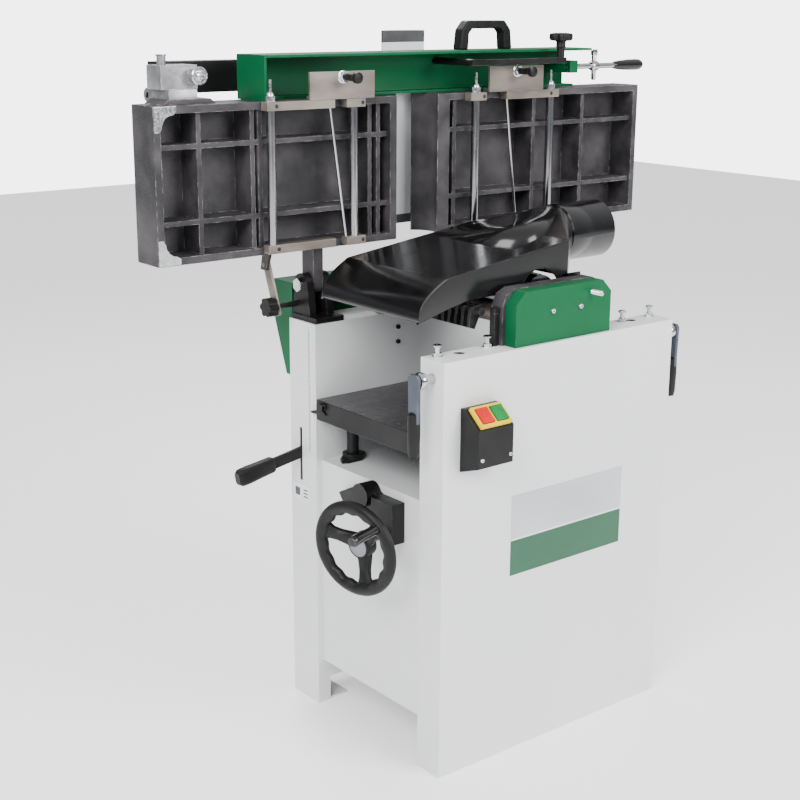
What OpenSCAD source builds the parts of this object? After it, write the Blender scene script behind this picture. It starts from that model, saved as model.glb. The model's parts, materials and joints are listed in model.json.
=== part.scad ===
// Combined surface planer and thicknesser with the tables swung up.
// +X is the outfeed end, +Y the hinge side, +Z up. The origin is the
// centre of the four floor bolts, at floor level.

/* [Stand] */
// Length of the side walls along X
base_len = 512; // [440:2:600]
// Clear width between the two side walls
gap_w = 275; // [240:1:320]
// Thickness of the near side wall
near_t = 55; // [50:1:70]
// Thickness of the far column
far_t = 75; // [70:1:95]
// Height of both side walls
wall_h = 692; // [640:2:800]
// Height of the deck above the floor
deck_z = 455; // [400:1:480]
// Height of the cabinet panels' lower edge
panel_z = 82; // [40:1:120]
// How far the cabinet panels sit behind the wall ends
panel_inset = 11; // [6:1:20]
// Thickness of the folded sheet
sheet_t = 2; // [1.5:0.5:3]
// Thickness of the foot plates
foot_t = 4; // [3:1:8]
// Radius of the floor bolt holes
foot_hole_r = 5.5; // [4.5:0.5:7]

/* [Cutter head] */
// Height of the cutter axis above the wall top
cut_rise = 61; // [58:1:70]
// Cutting circle radius
cut_r = 36; // [33:0.5:38]
// Radius of the cutter journals
journal_r = 15; // [12:0.5:17]
// Half length of the bearing housings
house_half = 112; // [104:1:120]
// Radius of the cutter pulley
cut_pulley_r = 17; // [15:0.5:18]
// Radius of the motor pulley
mot_pulley_r = 34; // [28:0.5:40]
// Radius of the motor
motor_r = 60; // [50:1:64]
// Radius of the feed rollers
roller_r = 17; // [15:0.5:19]
// Distance of the feed rollers from the cutter axis
roller_x = 72; // [68:0.5:80]

/* [Thicknessing bed] */
// Height of the bed's face at rest
bed_z = 567; // [550:1:600]
// Length of the bed along X
bed_len = 510; // [440:2:600]
// Depth of the bed's skirt
bed_skirt = 36; // [30:1:40]
// Radius of the guide posts
post_r = 10; // [8:0.5:12]
// Radius of the lift screw
screw_r = 12; // [10:0.5:14]
// Radius of the handwheel
wheel_r = 80; // [60:1:85]
// Height of the handwheel's centre
wheel_z = 379; // [370:1:390]

/* [Surfacing tables] */
// Length of one table along X
table_len = 514; // [440:2:600]
// Width of a table
table_w = 243; // [220:1:250]
// Depth of the table castings
table_t = 65; // [55:1:70]
// Half gap between the table lips
lip_gap = 18; // [14:1:24]
// Thickness of the table's face plate
plate_t = 10; // [8:1:14]
// Thickness of the ribs
rib_t = 8; // [6:1:12]
// Radius of the guide bars
bar_r = 7.5; // [6:0.5:9]
// Radius of the hinge pins
pin_r = 8; // [6:0.5:9]

/* [Dust hood] */
// Outer radius of the round outlet
outlet_r = 50; // [40:0.5:52]
// Wall thickness of the hood
hood_t = 3; // [2:0.5:4]

/* [Hidden] */
$fn = 48;
run_c = 0.05; // radial running clearance of a shaft
gap_c = 0.4; // gap between parts that pass each other

L2 = base_len / 2;
yf1 = (near_t + gap_w + far_t) / 2;
yn0 = -yf1;
yn1 = yn0 + near_t;
yf0 = yn1 + gap_w;
cut_z = wall_h + cut_rise;

// feet
foot_x = L2 - 41;
foot_y = yf1 - 32.5;

// pulley cover and belt
belt_w = 14;
belt_t = 3;
house_t = 24.5;
cover_d = 25;
latch_w = 12; // reach of the hood latch from the housing, short of the rest screws
belt_y = yn1 - house_t - 6 - belt_w;
cover_top = cut_z + cut_pulley_r + belt_t + 6;
motor_x = 110;
motor_z = 150;
motor_shaft_r = 9.5;
motor_len = 190;

// feed rollers hang a little below the cutting circle
roller_z = cut_z - cut_r - 1 + roller_r;
roller_shaft_r = 9;
block_t = 10;
cover_rise = 59;
chain_t = 3;
sprocket_r = wall_h + cover_rise - sheet_t - roller_z - chain_t - 2 * gap_c;
chain_y = yf1 + 14;
gearbox_z = cut_z - 118;

// pins that the dust hood swings on
trunnion_x = 80;
trunnion_z = cut_z + 13;
trunnion_r = 6;
finger_x = -(roller_x + 60);
finger_z = cut_z - 8;

// tables, upright at rest; the pivot puts the folded face level with the knives
pivot_y = yf1 - 24.5;
table_y0 = yf1 - 52.5;
table_y1 = table_y0 + table_t;
pivot_z = cut_z + cut_r - (table_y1 - pivot_y);
table_z0 = pivot_z + 63;
table_z1 = table_z0 + table_w;
hinge_x = L2 - 32;
arm_w = 20;
lug_t = 14;
bracket_h = 18;
bar_y = table_y0 - bracket_h / 2;
plate_y = table_y0 - bracket_h - 1;
clamp_x = L2 - 63;
clamp_y = yn0 + 39.5;
clamp_zt = pivot_z + pivot_y - clamp_y; // folds down onto the near wall
clamp_hole_r = 10;
beam_h = 71;
beam_x0 = -335;
beam_x1 = 395;
beam_y1 = table_y1 + 10;
beam_y0 = table_y0 - 5;

// stay bar between the tables and the column
stay_x = -(L2 + 33);
stay_u = [37, 33];
stay_s = [12, -34];
stud_r = 5;

// lift
lift_gear_r = 38;
lift_z0 = 372;
lift_h = 14;
screw_z0 = 230;
post_xy = [[-199, 100], [199, -112]];
wheel_x = -(L2 + 65);
wheel_y = -78;
wheel_dish = 22; // the rim stands this far in front of the hub
crank_a = 134; // the crank stands on the spoke at this angle
hub_h = 24;
pinion_r = 14;
pinion_z = lift_z0 + lift_h + pinion_r + 4;
wheel_yaw = atan2(-wheel_y, -wheel_x);
wheel_flat = norm([wheel_x, wheel_y]);
wheel_dip = atan2(pinion_z - wheel_z, wheel_flat);
wheel_shaft_r = 8;
shaft_len = norm([wheel_flat, pinion_z - wheel_z]);

// locks, clutch lever and switch
lock_y = yn0 + 27.5;
lock_z = wall_h - 29;
lock_r = 8;
clutch_y = yf0 + 45.5;
clutch_z = 472;
clutch_x = -(L2 - 66);
clutch_pin_r = 6;
clutch_dip = 10;
switch_x0 = -222;
switch_w = 72;
switch_slope = 40.3;

// guard and fence
arm_y = table_y0 - 42;
arm_z = table_z1 + 52;
guard_x = 14;
guard_y = beam_y1 + 2;
guard_w = 92;
guard_rod_r = 6;
guard_rod_x = 76;
spindle_y = beam_y0 + 8;
spindle_z = table_z1 + 38;
spindle_r = 5;
fence_pin_r = 5;
fence_x0 = -452;
fence_x1 = 322;
fence_y = guard_y + 43; // parked clear of the guard at its full reach
fence_z = table_z1 + 9;

white = [0.9, 0.9, 0.88];
green = [0.02, 0.42, 0.2];
iron = [0.16, 0.16, 0.17];
black = [0.07, 0.07, 0.08];
steel = [0.72, 0.72, 0.74];

// ---- helpers ----

module block(x0, x1, y0, y1, z0, z1) {
    translate([min(x0, x1), min(y0, y1), min(z0, z1)])
        cube([abs(x1 - x0), abs(y1 - y0), abs(z1 - z0)]);
}

module x_rod(x0, x1, y, z, r, n = 48) {
    translate([min(x0, x1), y, z]) rotate([0, 90, 0]) cylinder(r = r, h = abs(x1 - x0), $fn = n);
}

module y_rod(x, y0, y1, z, r, n = 48) {
    translate([x, max(y0, y1), z]) rotate([90, 0, 0]) cylinder(r = r, h = abs(y1 - y0), $fn = n);
}

module z_rod(x, y, z0, z1, r, n = 48) {
    translate([x, y, min(z0, z1)]) cylinder(r = r, h = abs(z1 - z0), $fn = n);
}

// outline in Y and Z, extruded along X
module yz_slab(x0, x1, pts) {
    translate([min(x0, x1), 0, 0]) rotate([90, 0, 90]) linear_extrude(abs(x1 - x0)) polygon(pts);
}

// outline in X and Z, extruded along Y
module xz_slab(y0, y1, pts) {
    translate([0, max(y0, y1), 0]) rotate([90, 0, 0]) linear_extrude(abs(y1 - y0)) polygon(pts);
}

// stands on the handwheel's axis, +Z from the cabinet's middle out to the wheel
module on_wheel_axis() {
    translate([0, 0, pinion_z]) rotate([0, 0, 180 + wheel_yaw]) rotate([0, 90 + wheel_dip, 0]) children();
}

// stands on the switch's sloped face, +Z outward
module on_slope() {
    translate([switch_x0 + switch_w / 2, yn0 - 26, 603]) rotate([switch_slope, 0, 0]) children();
}

// ---- stand ----

module near_wall() color(white) difference() {
    block(-L2, L2, yn0, yn1, 0, wall_h);
    block(-L2 + sheet_t, L2 - sheet_t, yn0 + sheet_t, yn1 - sheet_t, -1, wall_h - sheet_t);
    block(-22, 44, belt_y - 3, belt_y + belt_w + 3, wall_h - sheet_t - 1, wall_h + 1);
    for (s = [-1, 1]) {
        z_rod(s * clamp_x, clamp_y, wall_h - sheet_t - 1, wall_h + 1, clamp_hole_r);
        x_rod(s * (L2 - sheet_t - 1), s * (L2 + 1), lock_y, lock_z, lock_r + run_c);
    }
    y_rod(motor_x, yn1 - sheet_t - 1, yn1 + 1, motor_z, motor_shaft_r + 5);
}

module far_column() color(white) {
    difference() {
        block(-L2, L2, yf0, yf1, 0, wall_h);
        block(-L2 + sheet_t, L2 - sheet_t, yf0 + sheet_t, yf1 - sheet_t, -1, wall_h - sheet_t);
        block(-L2 + 26, L2 - 26, yf0 - 1, yf1 + 1, -1, 46);
        block(-L2 - 1, -L2 + sheet_t + 1, clutch_y - 4, clutch_y + 4, clutch_z - 63, clutch_z + 33);
    }
    y_rod(clutch_x, yf0 + sheet_t, yf1 - sheet_t, clutch_z, clutch_pin_r);
}

module cabinet_panels() color(white) difference() {
    for (s = [-1, 1])
        block(s * (L2 - panel_inset - sheet_t), s * (L2 - panel_inset), yn1, yf0, panel_z, deck_z - sheet_t);
    on_wheel_axis() translate([0, 0, L2 - 60]) cylinder(r = wheel_shaft_r + 6, h = 70);
}

module deck() color(white) difference() {
    block(-L2 + panel_inset, L2 - panel_inset, yn1, yf0, deck_z - sheet_t, deck_z);
    for (p = post_xy) z_rod(p[0], p[1], deck_z - sheet_t - 1, deck_z + 1, post_r + 4);
    z_rod(0, 0, deck_z - sheet_t - 1, deck_z + 1, screw_r + 6);
}

module feet() color(steel) for (sx = [-1, 1], sy = [-1, 1]) {
    y_in = sy < 0 ? yn1 - sheet_t : yf0 + sheet_t;
    difference() {
        block(sx * (L2 - sheet_t - 64), sx * (L2 - sheet_t), y_in, sy * (yf1 - sheet_t), 0, foot_t);
        z_rod(sx * foot_x, sy * foot_y, -1, foot_t + 1, foot_hole_r);
    }
}

module labels() color([0.7, 0.72, 0.72]) {
    block(-110, 145, yn0 - 1, yn0, 315, 451);
    block(-L2 - 1, -L2, yf0 + 6.5, yf0 + 18.5, wall_h - 224, wall_h - 6);
    block(-L2 - 1, -L2, yf0 + 20, yf0 + 68, 372, 402);
}

// ---- cutter head ----

module housing(y0, y1, inner) {
    c = 26;
    top = cut_z + 27;
    difference() {
        xz_slab(y0, y1, [[-house_half, wall_h], [house_half, wall_h], [house_half, top - c],
            [house_half - c * 0.3, top - c * 0.3], [house_half - c, top], [-house_half + c, top],
            [-house_half + c * 0.3, top - c * 0.3], [-house_half, top - c]]);
        y_rod(0, y0 - 1, y1 + 1, cut_z, journal_r + run_c);
        for (s = [-1, 1]) y_rod(s * roller_x, y0 - 1, y1 + 1, roller_z, roller_shaft_r + 2);
        y_rod(trunnion_x, inner - 9, inner + 9, trunnion_z, trunnion_r + run_c);
    }
}

module bearing_housings() color(iron) {
    housing(yn1 - house_t, yn1, yn1);
    housing(yf0, yf0 + house_t, yf0);
}

module pulley_cover() color(green) {
    y1 = yn1 - house_t;
    half = house_half - 6;
    c = 20;
    difference() {
        xz_slab(y1 - cover_d, y1, [[-half, wall_h], [half, wall_h], [half, cover_top - c],
            [half - c, cover_top], [-half + c, cover_top], [-half, cover_top - c]]);
        xz_slab(y1 - cover_d + sheet_t, y1 + 1, [[-half + sheet_t, wall_h - 1], [half - sheet_t, wall_h - 1],
            [half - sheet_t, cover_top - c], [half - c, cover_top - sheet_t],
            [-half + c, cover_top - sheet_t], [-half + sheet_t, cover_top - c]]);
    }
}

module rear_cover() color(green) {
    z0 = wall_h - 103;
    z1 = wall_h + cover_rise;
    d = 56;
    difference() {
        yz_slab(-L2 + 6, L2 - 6, [[yf1, z0], [yf1 + 20, z0], [yf1 + d, z0 + 100], [yf1 + d, z1], [yf1, z1]]);
        yz_slab(-L2 + 8, L2 - 8, [[yf1 - 1, z0 + 2], [yf1 + 19, z0 + 2], [yf1 + d - 2, z0 + 101],
            [yf1 + d - 2, z1 - 2], [yf1 - 1, z1 - 2]]);
    }
}

// rest screws under the tables, socket screws and the hood latch
module fittings() color(steel) {
    for (x = [-clamp_x - 43, -clamp_x + 59, clamp_x - 21, clamp_x + 47]) {
        z_rod(x, clamp_y, wall_h, wall_h + 5, 7, 6);
        z_rod(x, clamp_y, wall_h + 5, plate_rest_z(), 4);
    }
    for (z = [wall_h - 52, wall_h - 26]) y_rod(-80, yf0 - 5, yf0, z, 4);
    for (x = [-28, 34]) y_rod(x, yn1 - house_t - cover_d - 3, yn1 - house_t - cover_d, cut_z - 11, 4);
    block(-house_half - latch_w, -house_half, yn1 - 20, yn1 - 8, wall_h + 52, wall_h + 60);
    block(-house_half - latch_w, -house_half - latch_w + 8, yn1 - 20, yn1 - 8, wall_h, wall_h + 52);
}
function plate_rest_z() = pivot_z + (plate_y - pivot_y) - gap_c;

module cutter_block() color(steel) difference() {
    union() {
        y_rod(0, yn1 + 8, yf0 - 8, cut_z, cut_r - 1.5);
        y_rod(0, belt_y + belt_w, yf0 + house_t - 2, cut_z, journal_r);
        y_rod(0, belt_y - 1, belt_y + belt_w, cut_z, journal_r - 6);
    }
    for (a = [0, 120, 240]) translate([0, 0, cut_z]) rotate([0, a, 0])
        block(-3, 3, yn1 + 7, yf0 - 7, cut_r - 14, cut_r + 1);
}

module cutter_knives() color([0.85, 0.85, 0.87]) for (a = [0, 120, 240])
    translate([0, 0, cut_z]) rotate([0, a, 0])
        block(-3, 3, yn1 + 8, yf0 - 8, cut_r - 14, cut_r - 0.13);

module cutter_pulley() color(steel) difference() {
    y_rod(0, belt_y, belt_y + belt_w, cut_z, cut_pulley_r);
    y_rod(0, belt_y - 1, belt_y + belt_w + 1, cut_z, journal_r - 6);
}

module belt_loop(t, out) hull() {
    y_rod(0, belt_y - out, belt_y + belt_w + out, cut_z, cut_pulley_r + t, 48);
    y_rod(motor_x, belt_y - out, belt_y + belt_w + out, motor_z, mot_pulley_r + t, 48);
}

module drive_belt() color(black) difference() {
    belt_loop(gap_c + belt_t, 0);
    belt_loop(gap_c, 1);
}

module motor_pulley() color(steel) {
    y_rod(motor_x, belt_y, belt_y + belt_w, motor_z, mot_pulley_r);
    y_rod(motor_x, belt_y + belt_w, yn1 + 28, motor_z, motor_shaft_r);
}

module motor() color([0.2, 0.22, 0.25]) difference() {
    union() {
        y_rod(motor_x, yn1, yn1 + 12, motor_z, motor_r + 4);
        y_rod(motor_x, yn1 + 12, yn1 + motor_len, motor_z, motor_r - 6);
        for (a = [0:20:340]) translate([motor_x, 0, motor_z]) rotate([0, a, 0])
            block(-1.5, 1.5, yn1 + 12, yn1 + motor_len - 45, motor_r - 8, motor_r);
        y_rod(motor_x, yn1 + motor_len - 45, yn1 + motor_len, motor_z, motor_r);
        block(motor_x - 30, motor_x + 30, yn1 + 40, yn1 + 120, motor_z + motor_r - 12, motor_z + motor_r + 18);
    }
    y_rod(motor_x, yn1 - 1, yn1 + 30, motor_z, motor_shaft_r + run_c);
}

// ---- feed ----

module roller(x, grooves) {
    difference() {
        y_rod(x, yn1 + block_t + 2, yf0 - block_t - 2, roller_z, roller_r);
        if (grooves) for (a = [0:20:340]) translate([x, 0, roller_z]) rotate([0, a, 0])
            block(-1, 1, yn1 + block_t + 1, yf0 - block_t - 1, roller_r - 1, roller_r + 1);
    }
    y_rod(x, yn1 + 0.5, yn1 + block_t + 2, roller_z, roller_shaft_r);
    y_rod(x, yf0 - block_t - 2, chain_y + 12, roller_z, roller_shaft_r);
    y_rod(x, chain_y, chain_y + 6, roller_z, sprocket_r);
}

module infeed_roller() color([0.45, 0.4, 0.36]) roller(-roller_x, true);
module outfeed_roller() color([0.5, 0.5, 0.5]) roller(roller_x, false);

module roller_blocks() color(iron) for (s = [-1, 1], y = [yn1, yf0 - block_t]) difference() {
    block(s * roller_x - 15, s * roller_x + 15, y, y + block_t, roller_z - 15, roller_z + 15);
    y_rod(s * roller_x, y - 1, y + block_t + 1, roller_z, roller_shaft_r + run_c);
}

module chain_loop(y0, y1, r) hull() {
    for (s = [-1, 1]) y_rod(s * roller_x, y0, y1, roller_z, r, 32);
    y_rod(0, y0, y1, gearbox_z, r, 32);
}

module feed_chain() color([0.3, 0.3, 0.3]) difference() {
    chain_loop(chain_y + 1, chain_y + 5, sprocket_r + gap_c + chain_t);
    chain_loop(chain_y, chain_y + 6, sprocket_r + gap_c);
}

module feed_gearbox() color(iron) {
    block(-70, 70, yf1, chain_y - 3, gearbox_z - 38, gearbox_z + 38);
    y_rod(0, chain_y - 3, chain_y + 8, gearbox_z, 8);
    y_rod(0, chain_y, chain_y + 6, gearbox_z, sprocket_r);
}

module kickback_fingers() color([0.3, 0.29, 0.28]) {
    y_rod(finger_x, yn1 + gap_c, yf0 - gap_c, finger_z, 6);
    for (i = [0:15]) {
        y = yn1 + 18 + i * (gap_w - 42) / 15;
        xz_slab(y - 3, y + 3, [[finger_x - 10, finger_z + 6], [finger_x + 8, finger_z + 8],
            [finger_x + 10, finger_z - 6], [finger_x - 2, finger_z - 30], [finger_x - 14, finger_z - 26]]);
    }
}

// ---- dust hood ----

hood_y0 = yn1 + 8;
hood_y1 = yf0 - 17.5;
hood_cy = -15;
hood_end = 252;
outlet_x = 150;
outlet_z = cut_z + 73;

// section of the scoop in X and Z, grown inward by t
function scoop(t) = [[-255 + t, cut_z - 14 - t * 4], [-252 + t, cut_z + 8], [-239 + t, cut_z + 27],
    [-220 + t, cut_z + 41 - t * 0.6], [-202 + t, cut_z + 50 - t], [62, cut_z + 85 - t], [62, cut_z + 24 - t * 8],
    [-30, cut_z + 24 - t * 8], [-60, cut_z + 14 - t * 8], [-150, cut_z + 11 - t * 8], [-195, cut_z + 2 - t * 7]];

module funnel(t, e) {
    hull() {
        block(62 - e, 62.5, hood_y0 + t, hood_y1 - t, cut_z + 24 + t, cut_z + 85 - t);
        x_rod(outlet_x, outlet_x + 1, hood_cy, outlet_z, outlet_r - 2 - t, 32);
    }
    hull() {
        block(-40, -39, hood_y0 + 30 + t, hood_y1 - 10 - t, cut_z + 24 + t, cut_z + 68 - t);
        x_rod(outlet_x, outlet_x + 1, hood_cy, outlet_z, outlet_r - 2 - t, 32);
    }
}

module dust_hood() color(black) {
    difference() {
        union() {
            xz_slab(hood_y0, hood_y1, scoop(0));
            funnel(0, 0);
            x_rod(outlet_x, hood_end, hood_cy, outlet_z, outlet_r);
        }
        xz_slab(hood_y0 + hood_t, hood_y1 - hood_t, scoop(hood_t));
        funnel(hood_t, 8);
        x_rod(outlet_x - 1, hood_end + 1, hood_cy, outlet_z, outlet_r - hood_t - 2);
        y_rod(0, hood_y0 - 1, hood_y1 + 1, cut_z, cut_r + 8);
    }
    for (y = [hood_y0, hood_y1 - hood_t]) difference() {
        block(40, trunnion_x + 12, y, y + hood_t, trunnion_z - 12, cut_z + 30);
        y_rod(0, hood_y0 - 1, hood_y1 + 1, cut_z, cut_r + 8);
    }
    y_rod(trunnion_x, yn1 - 8, hood_y0, trunnion_z, trunnion_r);
    y_rod(trunnion_x, hood_y1, yf0 + 8, trunnion_z, trunnion_r);
}

// ---- thicknessing bed and its lift ----

module bed_table() color(iron) {
    y0 = yn1 + 7;
    y1 = yf0 - 7;
    under = bed_z - bed_skirt;
    difference() {
        union() {
            difference() {
                block(-bed_len / 2 - 5, bed_len / 2 - 5, y0, y1, under, bed_z);
                block(-bed_len / 2 + 5, bed_len / 2 - 15, y0 + 10, y1 - 10, under - 1, bed_z - 12);
                block(-bed_len / 2 - 6, -bed_len / 2 - 1, y0 - 1, y0 + 4, under - 1, bed_z + 1);
            }
            for (x = [-150, -50, 50, 150]) block(x - 4, x + 4, y0 + 10, y1 - 10, bed_z - 30, bed_z - 12);
            z_rod(0, 0, under, bed_z - 12, 30);
            for (p = post_xy) z_rod(p[0], p[1], under, bed_z - 12, post_r + 8);
        }
        z_rod(0, 0, under - 1, bed_z - 16, screw_r);
        for (p = post_xy) z_rod(p[0], p[1], under - 1, bed_z - 16, post_r);
    }
}

module bed_posts() color(black) for (p = post_xy) z_rod(p[0], p[1], 280, bed_z - 16, post_r);

module lift_screw() color(steel) z_rod(0, 0, screw_z0, bed_z - 16, screw_r);

module lift_gear() color([0.6, 0.5, 0.3]) difference() {
    union() {
        z_rod(0, 0, lift_z0, lift_z0 + lift_h, lift_gear_r);
        z_rod(0, 0, lift_z0 + lift_h, deck_z - sheet_t - 14, screw_r + 8);
    }
    z_rod(0, 0, lift_z0 - 1, deck_z, screw_r + run_c);
}

// diamond flanges on the deck and the carrier that holds the lift gear under it
module deck_bearings() color(black) {
    for (p = post_xy) difference() {
        union() {
            z_rod(p[0], p[1], deck_z, deck_z + 12, post_r + 8);
            translate([p[0], p[1], deck_z]) rotate([0, 0, 20]) linear_extrude(6)
                polygon([[-34, 0], [-26, -9], [0, -19], [26, -9], [34, 0], [26, 9], [0, 19], [-26, 9]]);
        }
        z_rod(p[0], p[1], deck_z - 1, deck_z + 13, post_r + run_c);
    }
    difference() {
        union() {
            block(-34, 34, -34, 34, deck_z - sheet_t - 6, deck_z - sheet_t);
            z_rod(0, 0, deck_z - sheet_t - 34, deck_z - sheet_t - 6, 30);
        }
        z_rod(0, 0, deck_z - sheet_t - 35, deck_z, screw_r + 8 + run_c);
    }
}

module bed_pointer() color(steel) {
    yb = yf0 - 16;
    bed_end = -bed_len / 2 - 5;
    x0 = min(bed_end, -L2 - 4);
    x_rod(x0 - 7, bed_end, yb - 8, bed_z - 10, 8, 6);
    yz_slab(x0 - 3, x0, [[yb - 20, bed_z - 22], [yb + 20, bed_z - 26], [yb + 22, bed_z - 23], [yb - 8, bed_z - 14]]);
}

module shaft_bracket() color(black) {
    x1 = -L2 + panel_inset;
    difference() {
        union() {
            xb = x1 - 26;
            block(xb, x1, wheel_y - 20, wheel_y + 34, wheel_z - 6, wheel_z + 62);
            yz_slab(x1 - 14, x1, [[wheel_y + 30, wheel_z + 20], [wheel_y + 124, wheel_z + 22],
                [wheel_y + 138, wheel_z + 40], [wheel_y + 66, wheel_z + 76], [wheel_y + 30, wheel_z + 60]]);
            x_rod(x1 - 30, x1, wheel_y + 60, wheel_z + 58, 20);
        }
        on_wheel_axis() translate([0, 0, 100]) cylinder(r = wheel_shaft_r + run_c, h = 250);
    }
}

module wheel_shaft() color(steel) on_wheel_axis() {
    translate([0, 0, 26]) cylinder(r = pinion_r, h = 18);
    translate([0, 0, 44]) cylinder(r = wheel_shaft_r, h = shaft_len - 20 + hub_h - 4 - 44);
}

module handwheel() color(black) on_wheel_axis() translate([0, 0, shaft_len - 20]) difference() {
    union() {
        rotate_extrude() translate([wheel_r - 10, wheel_dish + 8]) circle(r = 10);
        rotate_extrude() translate([wheel_r - 22, wheel_dish]) square([10, 10]);
        cylinder(r = 21, h = hub_h);
        for (a = [0, 120, 240]) rotate([0, 0, a + crank_a]) rotate([90, 0, 0]) translate([0, 0, -9])
            linear_extrude(18) polygon([[12, 4], [12, 15], [wheel_r - 18, wheel_dish + 10], [wheel_r - 16, wheel_dish + 1]]);
    }
    translate([0, 0, -1]) cylinder(r = wheel_shaft_r, h = hub_h - 3);
    rotate([0, 0, crank_a]) translate([wheel_r - 10, 0, -5]) cylinder(r = 4, h = 60);
}

module crank_handle() color(black) on_wheel_axis() translate([0, 0, shaft_len - 20])
    rotate([0, 0, crank_a]) translate([wheel_r - 10, 0, wheel_dish]) {
        translate([0, 0, 2]) cylinder(r = 4 - run_c, h = 18);
        translate([0, 0, 18.5]) cylinder(r = 9, h = 56);
    }

// ---- controls ----

module switch_box() color(black) difference() {
    yz_slab(switch_x0, switch_x0 + switch_w, [[yn0, 515], [yn0 - 42, 529], [yn0 - 42, 589],
        [yn0 - 9, 617], [yn0, 617]]);
    yz_slab(switch_x0 + 3, switch_x0 + switch_w - 3, [[yn0 + 1, 518], [yn0 - 39, 531], [yn0 - 39, 587],
        [yn0 - 8, 613], [yn0 + 1, 613]]);
    on_slope() for (s = [-1, 1]) translate([s * 14.5, 0, -14]) cylinder(r = 4 + gap_c, h = 20);
}

module switch_frame() color([0.9, 0.75, 0.05]) on_slope() difference() {
    translate([-31, -19, 0.1]) cube([62, 38, 7]);
    for (s = [-1, 1]) translate([s * 14.5 - 12, -14, -1]) cube([24, 28, 10]);
}

module push_button(s) on_slope() {
    translate([s * 14.5 - 11.5, -13.5, 4]) cube([23, 27, 6]);
    translate([s * 14.5, 0, -9]) cylinder(r = 4, h = 13);
}
module stop_button() color([0.8, 0.08, 0.06]) push_button(-1);
module start_button() color([0.05, 0.5, 0.2]) push_button(1);

module clutch_lever() color(black) translate([clutch_x, clutch_y, clutch_z]) rotate([0, -clutch_dip, 0]) difference() {
    union() {
        rotate([90, 0, 0]) cylinder(r = 14, h = 6, center = true);
        block(-130, 0, -3, 3, -10, 10);
    }
    rotate([90, 0, 0]) cylinder(r = clutch_pin_r + run_c, h = 8, center = true);
}

module clutch_grip() color(black) translate([clutch_x, clutch_y, clutch_z]) rotate([0, -clutch_dip, 0]) {
    x_rod(-190, -130, 0, 0, 11);
    translate([-190, 0, 0]) rotate([0, 90, 0]) sphere(r = 11);
}

module lock_lever(s) {
    x_rod(s * (clamp_x - 8), s * (L2 + 32), lock_y, lock_z, lock_r);
    x_rod(s * (L2 + 32), s * (L2 + 38), lock_y, lock_z, 13);
    block(s * (L2 + 32), s * (L2 + 38), lock_y - 11, lock_y + 11, lock_z - 48, lock_z);
    z_rod(s * (L2 + 35), lock_y, lock_z - 118, lock_z - 44, 9);
    x_rod(s * (clamp_x - 8), s * (clamp_x + 8), lock_y + 6, lock_z, 9);
}
module front_lock_lever() color(steel) lock_lever(-1);
module rear_lock_lever() color(steel) lock_lever(1);

// ---- surfacing tables ----

// one casting: face plate, rims, ribs, hinge arm; s is -1 at the infeed end
module table_casting(s, uprights, lip_over) {
    x0 = lip_gap;
    x1 = lip_gap + table_len;
    rim = 12;
    rim_in = lip_over > 0 ? 14 : 34;
    rib_y = table_y0 + 8;
    difference() {
        union() {
            block(s * x0, s * x1, table_y1 - plate_t, table_y1, table_z0, table_z1);
            for (z = [table_z0, table_z1 - rim]) block(s * (x0 + lip_over), s * x1, table_y0, table_y1 - plate_t, z, z + rim);
            block(s * (x1 - rim), s * x1, table_y0, table_y1 - plate_t, table_z0 + rim, table_z1 - rim);
            block(s * (x0 + lip_over), s * (x0 + lip_over + rim_in), table_y0, table_y1 - plate_t, table_z0 + rim, table_z1 - rim);
            for (z = [table_z0 + table_w * 0.26, table_z1 - table_w * 0.26])
                block(s * (x0 + lip_over + 2), s * (x1 - rim), rib_y, table_y1 - plate_t, z - rib_t / 2, z + rib_t / 2);
            for (x = uprights)
                block(x - rib_t / 2, x + rib_t / 2, rib_y, table_y1 - plate_t, table_z0 + rim, table_z1 - rim);
            block(s * (hinge_x - arm_w / 2), s * (hinge_x + arm_w / 2), pivot_y - 16, pivot_y + 16,
                pivot_z, table_z0);
            x_rod(s * (hinge_x - arm_w / 2), s * (hinge_x + arm_w / 2), pivot_y, pivot_z, 16);
        }
        z_rod(0, pivot_y + cut_z - pivot_z, table_z0 - 1, table_z1 + 1, cut_r + 2);
        x_rod(s * (hinge_x - arm_w), s * (hinge_x + arm_w), pivot_y, pivot_z, pin_r + run_c);
    }
}

module infeed_table() color(iron) {
    table_casting(-1, [-450, -352, -338, -118, -100], 48);
    difference() {
        yz_slab(stay_x - 10, stay_x - 4, [[table_y1 - 22, table_z0], [table_y1, table_z0],
            [pivot_y + stay_u[0] + 8, pivot_z + stay_u[1] - 8], [pivot_y + stay_u[0] - 8, pivot_z + stay_u[1] - 8]]);
        x_rod(stay_x - 12, stay_x, pivot_y + stay_u[0], pivot_z + stay_u[1], 4);
    }
}

module outfeed_table() color(iron) table_casting(1, [70, 262, 388], 0);

bar_x = [-328, -165, 104, 286];
bracket_dz = 14;

module guide_bars() color(steel) {
    for (x = bar_x) z_rod(x, bar_y, table_z0 + 3 + bracket_dz, table_z1 - bracket_dz, bar_r);
    intersection() {
        for (p = [[-214, -179], [176, 208]])
            translate([p[0], bar_y, table_z1]) rotate([0, atan2(p[0] - p[1], table_w), 0])
                translate([0, 0, -table_w - 10]) cylinder(r = 2.5, h = table_w + 20);
        block(-400, 400, bar_y - 5, bar_y + 5, table_z0 + 3 + bracket_dz, table_z1 - bracket_dz);
    }
}

// brackets that hold the guide bars and rods to the castings
module bar_brackets() color([0.62, 0.6, 0.58]) for (z = [table_z0 + 3, table_z1 - bracket_dz]) {
    block(-340, -208, table_y0 - bracket_h, table_y0, z, z + bracket_dz);
    block(-184, -146, table_y0 - bracket_h, table_y0, z, z + bracket_dz);
    block(86, 122, table_y0 - bracket_h, table_y0, z, z + bracket_dz);
    block(170, 300, table_y0 - bracket_h, table_y0, z, z + bracket_dz);
}

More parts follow.
